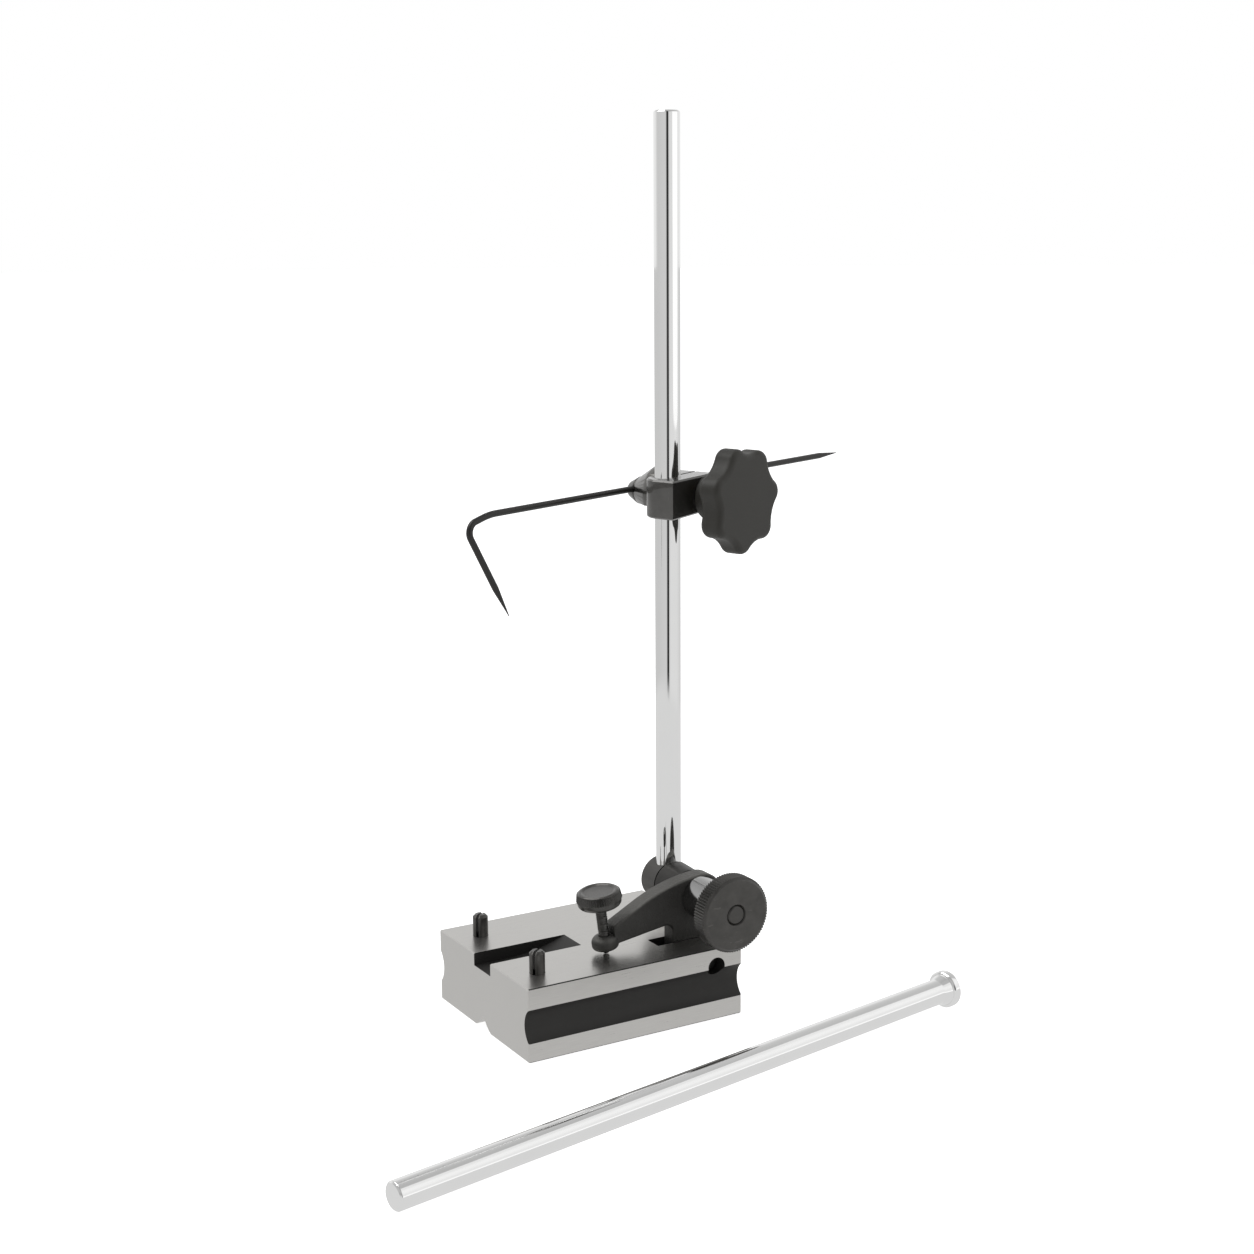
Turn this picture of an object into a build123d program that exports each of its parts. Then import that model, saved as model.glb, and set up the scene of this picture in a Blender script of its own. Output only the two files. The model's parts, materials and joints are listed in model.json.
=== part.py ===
"""Surface gauge: a ground steel base with a tilting rocker, a swivelling spindle,
a scriber clamp with a star knob, a bent scriber and a spare spindle lying beside it.

Millimetres. Origin at the middle of the sole, +Z up, +Y towards the end that
carries the spindle, +X towards the side with the knurled nut.
"""

import os
from math import asin, atan2, cos, degrees, hypot, pi, radians, sin, sqrt, tan

from build123d import *

# ---------------------------------------------------------------- clearances
RUN = 0.05            # radial gap of a shaft that turns or slides in its bore
FACE_GAP = 0.1        # gap between flat faces of pieces that move on each other
SHAKE = 0.2           # side gap of the rocker's tail in its slot
NECK_GAP = 0.1        # radial gap of loose sleeves on the part that they sit on

# ---------------------------------------------------------------- base block
BASE_WIDTH = 60.0
BASE_LENGTH = 75.0
BASE_HEIGHT = 23.0
BASE_EDGE = 0.3       # edge break all round
VEE_DEPTH = 4.4
VEE_ANGLE = 90.0
VEE_ROUND = 6.0       # radius where the vee runs into the sole
GROOVE_HEIGHT = 10.5  # finger grooves along both long sides
GROOVE_DEPTH = 2.5
GROOVE_MIDDLE = 11.2  # height of the grooves' middle above the sole
FOLD_SLOT_WIDTH = 11.0
FOLD_SLOT_DEPTH = 3.9
FOLD_SLOT_REACH = 31.6   # from the front end to where the slot runs out
CUTTER_RADIUS = 62.5     # of the disc cutter that made it

# ---------------------------------------------------------------- gauge pins
GAUGE_PIN_DIAMETER = 4.8
GAUGE_PIN_SPACING = 38.0
GAUGE_PIN_SETBACK = 9.0  # from the front end
GAUGE_PIN_STANDOUT = 7.0
GAUGE_PIN_FOOT = 2.5     # how far the lower end is inside the sole
GAUGE_PIN_CHAMFER = 0.8
GAUGE_SLIT_WIDTH = 0.9
GAUGE_SLIT_LENGTH = 20.0
GAUGE_SLIT_TURN = -52.0  # direction of the slit in plan, degrees

# ---------------------------------------------------------------- rocker
ROCKER_MIDDLE = 15.6     # distance of the rocker's mid-plane from the base's
ROCKER_THICKNESS = 6.0
ROCKER_EDGE = 0.75       # rounding of the casting's edges
PIVOT_SETBACK = 9.2      # from the rear end
PIVOT_BELOW_TOP = 6.0
PIVOT_DIAMETER = 6.0
PIVOT_GRIP = 8.0         # how far the pin goes into the base past the slot
PIVOT_RECESS = 5.0       # how far its outer end lies inside the base's side
SLOT_FRONT_REACH = 14.3  # from the pivot to the front wall of the rocker's slot
SLOT_FLOOR_BELOW_PIVOT = 6.5
TAIL_FRONT_REACH = 8.6   # from the pivot to the tail's front edge
TAIL_REAR_REACH = 7.1
TAIL_BELOW_PIVOT = 4.7
TAIL_CORNER = 3.0
HEEL_CORNER = 1.0
ARMPIT_RADIUS = 2.5
ARMPIT_ABOVE_TOP = 6.2
SWIVEL_SETBACK = 8.1     # of the swivel's axis from the rear end
SWIVEL_ABOVE_TOP = 13.3
HUB_RADIUS = 7.0
HUB_REARWARD = 1.3       # how far the hub's middle is behind the swivel's axis
ARM_BACK_RADIUS = 57.0   # of the arm's back, where it runs over the hub
ARM_RISE = 27.5          # slope of the arm's straight back, degrees
SCREW_REACH = 30.94      # from the pivot forwards to the screw's foot
SCREW_LEAN = 7.7         # degrees that the screw leans forwards
BOSS_RADIUS = 4.2
BOSS_BOTTOM = 1.7        # along the screw from the base's top
BOSS_TOP = 6.0
BOSS_FOOT_ROUND = 1.3
BOSS_TOP_ROUND = 2.2
ARM_END_TOP = 8.8        # along the screw, where the arm's back ends
ARM_END_GAP = 0.4        # between the screw's bore and the end of the arm
ARM_END_ROUND = 1.5
ARM_INSIDE = 1.2         # from the boss's foot up to the arm's lower edge
SPRING_REACH = 4.4       # from the pivot back to the spring under the tail
SPRING_DIAMETER = 3.4
SPRING_WIRE = 0.6
SPRING_POCKET_DEPTH = 5.0

# ---------------------------------------------------------------- adjusting screw
SCREW_DIAMETER = 3.5
SCREW_END = 1.9          # along the screw from the base's top to the shank's end
SCREW_HEAD_BOTTOM = 15.8
SCREW_HEAD_THICKNESS = 5.0
SCREW_HEAD_DIAMETER = 14.2    # where it is widest
SCREW_HEAD_TOP_DIAMETER = 13.3
SCREW_HEAD_WAIST = 2.2        # height of its widest part above its foot
SCREW_HEAD_ROUND = 1.6
SCREW_HEAD_RIM = 0.5     # bevel round the head's top
SCREW_DISH_DEPTH = 0.4
SCREW_DISH_RIM = 0.9
THRUST_PIN_DIAMETER = 2.0
THRUST_PIN_GAP = 0.2     # between the pin's tip and the base's top
THRUST_PIN_INSIDE = 3.0  # length of the pin inside the screw
THRUST_PIN_ROUND = 0.5

# ---------------------------------------------------------------- spindle and swivel
SPINDLE_DIAMETER = 8.0
SPINDLE_LENGTH = 250.0
SPINDLE_ABOVE_TOP = 2.4  # gap under its lower end
SPINDLE_CHAMFER = 0.5
HEAD_RADIUS = 7.1
HEAD_OUTER = 6.2         # from the spindle's axis to the head's outer face
HEAD_INNER = 2.6         # from the spindle's axis to the head's inner face
HEAD_CHAMFER = 1.0
NECK_RADIUS = 5.4
NECK_END = 7.8           # from the spindle's axis
STUD_DIAMETER = 6.0
STUD_POINT = 0.5
SLEEVE_SMALL_RADIUS = 6.7
SLEEVE_EDGE = 0.4
SPACER_RADIUS = 6.6
SPACER_LENGTH = 14.4
SPACER_EDGE = 0.3
NUT_DIAMETER = 24.0
NUT_THICKNESS = 6.2
NUT_EDGE = 0.6
NUT_MOUTH_RADIUS = 3.9
NUT_MOUTH_DEPTH = 0.8

# ---------------------------------------------------------------- scriber clamp
# Lengths along the clamp's bolt are taken from the spindle's axis, towards the
# knob; lengths across it are taken from the same axis, away from the front.
CLAMP_HEIGHT = 159.7     # of the clamp's middle above the sole
CLAMP_TURN = 20.0        # direction of the clamp's bolt in plan, degrees
CLAMP_TALL = 12.0
CLAMP_KNOB_FACE = 7.2
CLAMP_FAR_FACE = 6.2
CLAMP_FRONT = 6.5
CLAMP_EARS = 15.0
CLAMP_EAR_TOP = 6.8      # of the ears' ends, above the clamp's middle
CLAMP_EAR_BOTTOM = 4.6   # of the ears' ends, below the clamp's middle
CLAMP_CORNER = 6.0
CLAMP_EDGE = 0.5
CLAMP_EAR_ROUND = 1.0
CLAMP_SLIT = 1.0
BOLT_ACROSS = 9.0        # from the spindle's axis back to the bolt's axis
BOLT_DIAMETER = 6.0
BOLT_POINT = 0.5
BOLT_HEAD_RADIUS = 4.4
BOLT_HEAD_LENGTH = 3.9   # from the scriber's axis to the head's end
BOLT_HEAD_END_RADIUS = 2.4
BOLT_HEAD_ROUND = 1.2
CONE_RADIUS = 9.0
CONE_RIM = 3.4           # length of the cone's cylindrical rim
CONE_SMALL_RADIUS = 4.5
CONE_LENGTH = 11.0
CONE_FLAT = 3.5          # from the axis down to the flat underside
CONE_EDGE = 0.5
WASHER_RADIUS = 5.0
WASHER_THICKNESS = 1.0

# ---------------------------------------------------------------- star knob
KNOB_LOBES = 7
KNOB_RADIUS = 16.6       # over the lobes
KNOB_WAIST = 14.3        # between the lobes
KNOB_LOBE_ROUND = 4.1
KNOB_THICKNESS = 8.0
KNOB_EDGE = 1.5
KNOB_STEM_LENGTH = 7.6
KNOB_STEM_RADIUS = 7.0
KNOB_TURN = 44.9         # degrees from straight down to the first lobe
INSERT_RADIUS = 4.5
INSERT_LENGTH = 13.0
INSERT_PROUD = 0.5
INSERT_ROOM = 1.0        # free length of the insert past the bolt's end

# ---------------------------------------------------------------- scriber
SCRIBER_DIAMETER = 2.0
SCRIBER_ABOVE = 0.8      # from the bolt's axis up to the scriber's
SCRIBER_BOLT_GAP = 0.6   # from the cone's end to the scriber's axis
SCRIBER_REAR = 111.0     # from the bolt to the rear point
SCRIBER_FRONT = 69.8     # from the bolt to where the wire starts to dip
SCRIBER_DIP = 2.4
SCRIBER_DIP_LENGTH = 10.4
SCRIBER_LEG_DOWN = 29.0
SCRIBER_LEG_BACK = 17.6
SCRIBER_DIP_BEND = 25.0
SCRIBER_LEG_BEND = 3.2
SCRIBER_TAPER = 10.8
SCRIBER_POINT = 0.12
SCRIBER_RISE = 0.6       # slope of the wire towards its rear point, degrees

# ---------------------------------------------------------------- spare spindle
SPARE_LENGTH = 208.0
SPARE_END = (92.3, -108.6)   # plan position of the end near the front
SPARE_TURN = 99.33           # its direction in plan, degrees
SPARE_FLANGE_DIAMETER = 11.5
SPARE_FLANGE_THICKNESS = 3.0
SPARE_FLANGE_EDGE = 0.5
SPARE_NECK_LENGTH = 2.8
SPARE_NECK_RADIUS = 4.9

# ---------------------------------------------------------------- places that follow
FRONT_Y = -BASE_LENGTH / 2
REAR_Y = BASE_LENGTH / 2
PIVOT_Y = REAR_Y - PIVOT_SETBACK
PIVOT_Z = BASE_HEIGHT - PIVOT_BELOW_TOP
SWIVEL_Y = REAR_Y - SWIVEL_SETBACK
SWIVEL_Z = BASE_HEIGHT + SWIVEL_ABOVE_TOP
ROCKER_NEAR = ROCKER_MIDDLE - ROCKER_THICKNESS / 2
ROCKER_FAR = ROCKER_MIDDLE + ROCKER_THICKNESS / 2
SLOT_FLOOR_Z = PIVOT_Z - SLOT_FLOOR_BELOW_PIVOT
TAIL_BOTTOM_Z = PIVOT_Z - TAIL_BELOW_PIVOT
SPINDLE_RADIUS = SPINDLE_DIAMETER / 2
STUD_RADIUS = STUD_DIAMETER / 2
SPINDLE_FOOT_Z = BASE_HEIGHT + SPINDLE_ABOVE_TOP
NUT_BACK_X = ROCKER_FAR + SPACER_LENGTH + FACE_GAP
NUT_FRONT_X = NUT_BACK_X + NUT_THICKNESS
BOLT_RADIUS = BOLT_DIAMETER / 2
CONE_BACK = -CLAMP_FAR_FACE - FACE_GAP
CONE_END = CONE_BACK - CONE_LENGTH
SCRIBER_AT = CONE_END - SCRIBER_BOLT_GAP
SCRIBER_RADIUS = SCRIBER_DIAMETER / 2
KNOB_STEM_START = CLAMP_KNOB_FACE + WASHER_THICKNESS + FACE_GAP + INSERT_PROUD
KNOB_BACK = KNOB_STEM_START + KNOB_STEM_LENGTH
INSERT_START = KNOB_STEM_START - INSERT_PROUD
BOLT_END = INSERT_START + INSERT_LENGTH - INSERT_ROOM
SCREW_PLACE = Location((ROCKER_MIDDLE, PIVOT_Y - SCREW_REACH, BASE_HEIGHT), (SCREW_LEAN, 0, 0))
CLAMP_PLACE = Location((0, SWIVEL_Y, CLAMP_HEIGHT), (0, 0, CLAMP_TURN))
BOLT_PLACE = CLAMP_PLACE * Pos(0, BOLT_ACROSS, 0)
SCRIBER_PLACE = Pos(0, 0, SCRIBER_ABOVE) * Rot(SCRIBER_RISE, 0, 0)
TO_X = Rot(0, 90, 0)     # turns a piece made along Z so that it lies along X


# ---------------------------------------------------------------- shared shapes
def turned(*outline):
    """A solid of revolution about Z from (radius, height) points, foot first."""
    rim = [(0, outline[0][1]), *outline, (0, outline[-1][1])]
    return revolve(make_face(Plane.XZ * Polyline(*rim, close=True)), Axis.Z)


def round_bar(radius, start, end):
    """A plain cylinder along Z between two heights."""
    return Pos(0, 0, (start + end) / 2) * Cylinder(radius, end - start)


def bar_along_x(radius, start, end, y=0.0, z=0.0):
    """A plain cylinder along X between two places."""
    return Pos(0, y, z) * TO_X * round_bar(radius, start, end)


def slab(low, high):
    """A box between two corners."""
    size = [h - l for l, h in zip(low, high)]
    middle = [(h + l) / 2 for l, h in zip(low, high)]
    return Pos(*middle) * Box(*size)


# ---------------------------------------------------------------- base
def vee_cut():
    """The vee along the sole, with the rounding where it meets the sole."""
    flank = radians(90 - VEE_ANGLE / 2)
    half_mouth = VEE_DEPTH / tan(flank)
    run_in = VEE_ROUND * tan(flank / 2)
    start = half_mouth + run_in
    arc_middle = (start - VEE_ROUND * sin(flank / 2), VEE_ROUND * (1 - cos(flank / 2)))
    arc_end = (half_mouth - run_in * cos(flank), run_in * sin(flank))
    right = [
        Line((0, VEE_DEPTH), arc_end),
        ThreePointArc(arc_end, arc_middle, (start, 0)),
    ]
    left = [
        ThreePointArc((-start, 0), (-arc_middle[0], arc_middle[1]), (-arc_end[0], arc_end[1])),
        Line((-arc_end[0], arc_end[1]), (0, VEE_DEPTH)),
    ]
    below = [Line((start, 0), (start, -1)), Line((start, -1), (-start, -1)), Line((-start, -1), (-start, 0))]
    profile = make_face(right + below + left)
    return extrude(Plane.XZ * profile, BASE_LENGTH, both=True)


def fold_slot_cut():
    """The slot in the top that the folded spindle dips into, run out by the cutter."""
    floor = BASE_HEIGHT - FOLD_SLOT_DEPTH
    run_out = sqrt(CUTTER_RADIUS**2 - (CUTTER_RADIUS - FOLD_SLOT_DEPTH) ** 2)
    cutter_y = FRONT_Y + FOLD_SLOT_REACH - run_out
    half = FOLD_SLOT_WIDTH / 2
    disc = bar_along_x(CUTTER_RADIUS, -half, half, cutter_y, floor + CUTTER_RADIUS)
    straight = slab((-half, FRONT_Y - CUTTER_RADIUS, floor), (half, cutter_y, floor + CUTTER_RADIUS))
    return disc + straight


def base_block():
    """The ground block with its grooves, slots and holes."""
    block = slab((-BASE_WIDTH / 2, FRONT_Y, 0), (BASE_WIDTH / 2, REAR_Y, BASE_HEIGHT))
    block = chamfer(block.edges(), BASE_EDGE)
    groove_radius = (GROOVE_HEIGHT**2 / 4 + GROOVE_DEPTH**2) / (2 * GROOVE_DEPTH)
    groove_x = BASE_WIDTH / 2 - GROOVE_DEPTH + groove_radius
    groove = Rot(90, 0, 0) * Cylinder(groove_radius, BASE_LENGTH + 2)
    for side in (-1, 1):
        block -= Pos(side * groove_x, 0, GROOVE_MIDDLE) * groove
        pin_hole = round_bar(GAUGE_PIN_DIAMETER / 2 + RUN, -1, BASE_HEIGHT + 1)
        block -= Pos(side * GAUGE_PIN_SPACING / 2, FRONT_Y + GAUGE_PIN_SETBACK) * pin_hole
    block -= vee_cut()
    block -= fold_slot_cut()
    block -= slab(
        (ROCKER_NEAR - SHAKE, PIVOT_Y - SLOT_FRONT_REACH, SLOT_FLOOR_Z),
        (ROCKER_FAR + SHAKE, REAR_Y + 1, BASE_HEIGHT + 1),
    )
    hole_end = ROCKER_NEAR - SHAKE - PIVOT_GRIP
    block -= bar_along_x(PIVOT_DIAMETER / 2, hole_end, BASE_WIDTH / 2 + 1, PIVOT_Y, PIVOT_Z)
    pocket = round_bar(
        SPRING_DIAMETER / 2 + NECK_GAP, SLOT_FLOOR_Z - SPRING_POCKET_DEPTH, SLOT_FLOOR_Z + 1
    )
    return block - Pos(ROCKER_MIDDLE, PIVOT_Y + SPRING_REACH) * pocket


def gauge_pin(side):
    """A slit pin that can be pushed down to stand out of the sole."""
    radius = GAUGE_PIN_DIAMETER / 2
    top = BASE_HEIGHT + GAUGE_PIN_STANDOUT
    pin = turned(
        (radius - GAUGE_PIN_CHAMFER, GAUGE_PIN_FOOT),
        (radius, GAUGE_PIN_FOOT + GAUGE_PIN_CHAMFER),
        (radius, top - GAUGE_PIN_CHAMFER),
        (radius - GAUGE_PIN_CHAMFER, top),
    )
    slit = slab(
        (-GAUGE_PIN_DIAMETER, -GAUGE_SLIT_WIDTH / 2, top - GAUGE_SLIT_LENGTH),
        (GAUGE_PIN_DIAMETER, GAUGE_SLIT_WIDTH / 2, top + 1),
    )
    pin -= Rot(0, 0, GAUGE_SLIT_TURN) * slit
    return Pos(side * GAUGE_PIN_SPACING / 2, FRONT_Y + GAUGE_PIN_SETBACK) * pin


# ---------------------------------------------------------------- rocker
def rocker_pivot_pin():
    """The cross pin that the rocker turns on, pressed into the base."""
    start = ROCKER_NEAR - SHAKE - PIVOT_GRIP
    return bar_along_x(PIVOT_DIAMETER / 2, start, BASE_WIDTH / 2 - PIVOT_RECESS, PIVOT_Y, PIVOT_Z)


def rocker_spring():
    """The spring under the heel, as the plain sleeve that it fills."""
    foot = SLOT_FLOOR_Z - SPRING_POCKET_DEPTH
    radius = SPRING_DIAMETER / 2
    spring = round_bar(radius, foot, TAIL_BOTTOM_Z) - round_bar(radius - SPRING_WIRE, foot, TAIL_BOTTOM_Z)
    return Pos(ROCKER_MIDDLE, PIVOT_Y + SPRING_REACH) * spring


def by_screw(along, ahead):
    """The (y, z) place at a distance up the screw from the base's top, and ahead of its axis."""
    lean = radians(SCREW_LEAN)
    return (
        PIVOT_Y - SCREW_REACH - along * sin(lean) - ahead * cos(lean),
        BASE_HEIGHT + along * cos(lean) - ahead * sin(lean),
    )


def rocker_outline():
    """The casting's side view as a face in (y, z)."""
    hub = (SWIVEL_Y + HUB_REARWARD, SWIVEL_Z)
    behind_bore = -(SCREW_DIAMETER / 2 + RUN + ARM_END_GAP)
    nose = by_screw(ARM_END_TOP, behind_bore)
    chin = by_screw(BOSS_BOTTOM + ARM_INSIDE, behind_bore)
    rise = radians(ARM_RISE)
    to_hub = (hub[0] - nose[0], hub[1] - nose[1])
    hub_along = to_hub[0] * cos(rise) + to_hub[1] * sin(rise)
    hub_below = to_hub[0] * sin(rise) - to_hub[1] * cos(rise)
    run = sqrt((ARM_BACK_RADIUS - HUB_RADIUS) ** 2 - (ARM_BACK_RADIUS - hub_below) ** 2)
    straight = hub_along - run
    shoulder = (nose[0] + straight * cos(rise), nose[1] + straight * sin(rise))
    back_centre = (
        shoulder[0] + ARM_BACK_RADIUS * sin(rise),
        shoulder[1] - ARM_BACK_RADIUS * cos(rise),
    )
    towards_hub = atan2(hub[1] - back_centre[1], hub[0] - back_centre[0])
    towards_shoulder = pi / 2 + rise

    def on_back(angle):
        return (
            back_centre[0] + ARM_BACK_RADIUS * cos(angle),
            back_centre[1] + ARM_BACK_RADIUS * sin(angle),
        )

    def on_hub(angle):
        return (hub[0] + HUB_RADIUS * cos(angle), hub[1] + HUB_RADIUS * sin(angle))

    tangent = on_hub(towards_hub)
    hub_rear = on_hub(0)
    heel = (PIVOT_Y + TAIL_REAR_REACH, TAIL_BOTTOM_Z)
    toe = (PIVOT_Y - TAIL_FRONT_REACH, TAIL_BOTTOM_Z)
    armpit = (toe[0], BASE_HEIGHT + ARMPIT_ABOVE_TOP)
    face = make_face(
        [
            Line(nose, shoulder),
            ThreePointArc(shoulder, on_back((towards_hub + towards_shoulder) / 2), tangent),
            ThreePointArc(tangent, on_hub(towards_hub / 2), hub_rear),
            Polyline(hub_rear, heel, toe, armpit, chin, nose),
        ]
    )
    corners = (
        (heel, HEEL_CORNER),
        (toe, TAIL_CORNER),
        (armpit, ARMPIT_RADIUS),
        (nose, ARM_END_ROUND),
    )
    for corner, radius in corners:
        nearest = min(face.vertices(), key=lambda v: hypot(v.X - corner[0], v.Y - corner[1]))
        face = fillet(nearest, radius)
    return face


def rocker_bracket():
    """The cast rocker: tail in the base, hub for the swivel, arm and screw boss."""
    body = Pos(ROCKER_NEAR, 0, 0) * extrude(Plane.YZ * rocker_outline(), ROCKER_THICKNESS)
    sides = body.faces().filter_by(Axis.X)
    body = fillet(sides.edges(), ROCKER_EDGE)
    boss = round_bar(BOSS_RADIUS, BOSS_BOTTOM, BOSS_TOP)
    boss = fillet(boss.edges().filter_by(GeomType.CIRCLE).sort_by(Axis.Z)[-1], BOSS_TOP_ROUND)
    boss = fillet(boss.edges().filter_by(GeomType.CIRCLE).sort_by(Axis.Z)[0], BOSS_FOOT_ROUND)
    body += SCREW_PLACE * boss
    body -= SCREW_PLACE * round_bar(SCREW_DIAMETER / 2 + RUN, 0, BOSS_TOP + SCREW_DIAMETER)
    body -= bar_along_x(STUD_RADIUS + RUN, ROCKER_NEAR - 1, ROCKER_FAR + 1, SWIVEL_Y, SWIVEL_Z)
    body -= bar_along_x(PIVOT_DIAMETER / 2 + RUN, ROCKER_NEAR - 1, ROCKER_FAR + 1, PIVOT_Y, PIVOT_Z)
    return body


def adjusting_screw():
    """The thumb screw in the arm's nose, hollow at its end for the thrust pin."""
    head_radius = SCREW_HEAD_DIAMETER / 2
    top_radius = SCREW_HEAD_TOP_DIAMETER / 2
    head_top = SCREW_HEAD_BOTTOM + SCREW_HEAD_THICKNESS
    head = turned(
        (head_radius, SCREW_HEAD_BOTTOM),
        (head_radius, SCREW_HEAD_BOTTOM + SCREW_HEAD_WAIST),
        (top_radius, head_top - SCREW_HEAD_RIM),
        (top_radius - SCREW_HEAD_RIM, head_top),
        (top_radius - SCREW_HEAD_RIM - SCREW_DISH_RIM, head_top - SCREW_DISH_DEPTH),
    )
    head = fillet(head.edges().filter_by(GeomType.CIRCLE).sort_by(Axis.Z)[0], SCREW_HEAD_ROUND)
    screw = head + round_bar(SCREW_DIAMETER / 2, SCREW_END, SCREW_HEAD_BOTTOM + SCREW_HEAD_ROUND)
    bore_end = SCREW_END + THRUST_PIN_INSIDE + FACE_GAP
    screw -= round_bar(THRUST_PIN_DIAMETER / 2 + RUN, SCREW_END - 1, bore_end)
    return SCREW_PLACE * screw


def screw_thrust_pin():
    """The thin pin in the screw's end that stands on the base."""
    radius = THRUST_PIN_DIAMETER / 2
    pin = turned(
        (radius - THRUST_PIN_ROUND, THRUST_PIN_GAP),
        (radius, THRUST_PIN_GAP + THRUST_PIN_ROUND),
        (radius, SCREW_END + THRUST_PIN_INSIDE),
    )
    return SCREW_PLACE * pin


# ---------------------------------------------------------------- swivel
def swivel_bolt():
    """The clamping bolt: a head that the spindle passes through, a neck and a stud."""
    bolt = turned(
        (HEAD_RADIUS - HEAD_CHAMFER, -HEAD_OUTER),
        (HEAD_RADIUS, -HEAD_OUTER + HEAD_CHAMFER),
        (HEAD_RADIUS, HEAD_INNER),
        (NECK_RADIUS, HEAD_INNER),
        (NECK_RADIUS, NECK_END),
        (STUD_RADIUS, NECK_END),
        (STUD_RADIUS, NUT_FRONT_X - STUD_POINT),
        (STUD_RADIUS - STUD_POINT, NUT_FRONT_X),
    )
    bolt = Pos(0, SWIVEL_Y, SWIVEL_Z) * TO_X * bolt
    return bolt - spindle_bore(RUN)


def spindle_bore(gap):
    """The space of the spindle through the swivel, with a radial gap."""
    reach = 2 * HEAD_RADIUS
    return Pos(0, SWIVEL_Y, SWIVEL_Z) * Cylinder(SPINDLE_RADIUS + gap, 2 * reach)


def swivel_sleeve():
    """The sleeve over the neck, notched to press on the spindle."""
    start = HEAD_INNER + NECK_GAP
    end = ROCKER_NEAR - FACE_GAP
    sleeve = turned(
        (HEAD_RADIUS - SLEEVE_EDGE, start),
        (HEAD_RADIUS, start + SLEEVE_EDGE),
        (SLEEVE_SMALL_RADIUS, end - SLEEVE_EDGE),
        (SLEEVE_SMALL_RADIUS - SLEEVE_EDGE, end),
    )
    sleeve -= round_bar(NECK_RADIUS + NECK_GAP, start - 1, NECK_END + NECK_GAP)
    sleeve -= round_bar(STUD_RADIUS + NECK_GAP, start, end + 1)
    return Pos(0, SWIVEL_Y, SWIVEL_Z) * TO_X * sleeve - spindle_bore(NECK_GAP)


def spacer_sleeve():
    """The bright spacer between the rocker's hub and the nut."""
    start, end = ROCKER_FAR, ROCKER_FAR + SPACER_LENGTH
    spacer = turned(
        (SPACER_RADIUS - SPACER_EDGE, start),
        (SPACER_RADIUS, start + SPACER_EDGE),
        (SPACER_RADIUS, end - SPACER_EDGE),
        (SPACER_RADIUS - SPACER_EDGE, end),
    )
    spacer -= round_bar(STUD_RADIUS + NECK_GAP, start - 1, end + 1)
    return Pos(0, SWIVEL_Y, SWIVEL_Z) * TO_X * spacer


def clamp_nut():
    """The round nut that clamps the swivel."""
    radius = NUT_DIAMETER / 2
    nut = turned(
        (radius - NUT_EDGE, NUT_BACK_X),
        (radius, NUT_BACK_X + NUT_EDGE),
        (radius, NUT_FRONT_X - NUT_EDGE),
        (radius - NUT_EDGE, NUT_FRONT_X),
    )
    nut -= round_bar(STUD_RADIUS + RUN, NUT_BACK_X - 1, NUT_FRONT_X + 1)
    nut -= round_bar(NUT_MOUTH_RADIUS, NUT_FRONT_X - NUT_MOUTH_DEPTH, NUT_FRONT_X + 1)
    return Pos(0, SWIVEL_Y, SWIVEL_Z) * TO_X * nut


def spindle():
    """The upright ground and plated rod."""
    inner = SPINDLE_RADIUS - SPINDLE_CHAMFER
    rod = turned(
        (inner, 0),
        (SPINDLE_RADIUS, SPINDLE_CHAMFER),
        (SPINDLE_RADIUS, SPINDLE_LENGTH - SPINDLE_CHAMFER),
        (inner, SPINDLE_LENGTH),
    )
    return Pos(0, SWIVEL_Y, SPINDLE_FOOT_Z) * rod


# ---------------------------------------------------------------- scriber clamp
def scriber_clamp_body():
    """The split block that slides on the spindle and is pinched by the bolt."""
    side_view = Polyline(
        (-CLAMP_FRONT, -CLAMP_TALL / 2),
        (CLAMP_EARS, -CLAMP_EAR_BOTTOM),
        (CLAMP_EARS, CLAMP_EAR_TOP),
        (-CLAMP_FRONT, CLAMP_TALL / 2),
        close=True,
    )
    block = extrude(Plane.YZ * make_face(side_view), CLAMP_KNOB_FACE + CLAMP_FAR_FACE)
    block = Pos(-CLAMP_FAR_FACE, 0, 0) * block
    ends = block.edges().filter_by(Axis.X).group_by(Axis.Y)[-1]
    block = fillet(ends, CLAMP_EAR_ROUND)
    front_edges = block.edges().filter_by(Axis.Z).group_by(Axis.Y)[0]
    block = fillet(front_edges.sort_by(Axis.X)[0], CLAMP_CORNER)
    top, bottom = block.faces().sort_by(Axis.Z)[-1], block.faces().sort_by(Axis.Z)[0]
    block = chamfer(top.edges() + bottom.edges(), CLAMP_EDGE)
    block -= Cylinder(SPINDLE_RADIUS + RUN, 2 * CLAMP_TALL)
    block -= slab(
        (-CLAMP_SLIT / 2, 0, -CLAMP_TALL), (CLAMP_SLIT / 2, CLAMP_EARS + 1, CLAMP_TALL)
    )
    block -= bar_along_x(BOLT_RADIUS + RUN, -CLAMP_FAR_FACE - 1, CLAMP_KNOB_FACE + 1, BOLT_ACROSS)
    return CLAMP_PLACE * block


def scriber_hole(gap):
    """The space of the scriber through the bolt's head, with a radial gap."""
    along_wire = Pos(SCRIBER_AT, 0, 0) * SCRIBER_PLACE * Rot(90, 0, 0)
    return along_wire * Cylinder(SCRIBER_RADIUS + gap, 4 * CONE_RADIUS)


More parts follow.
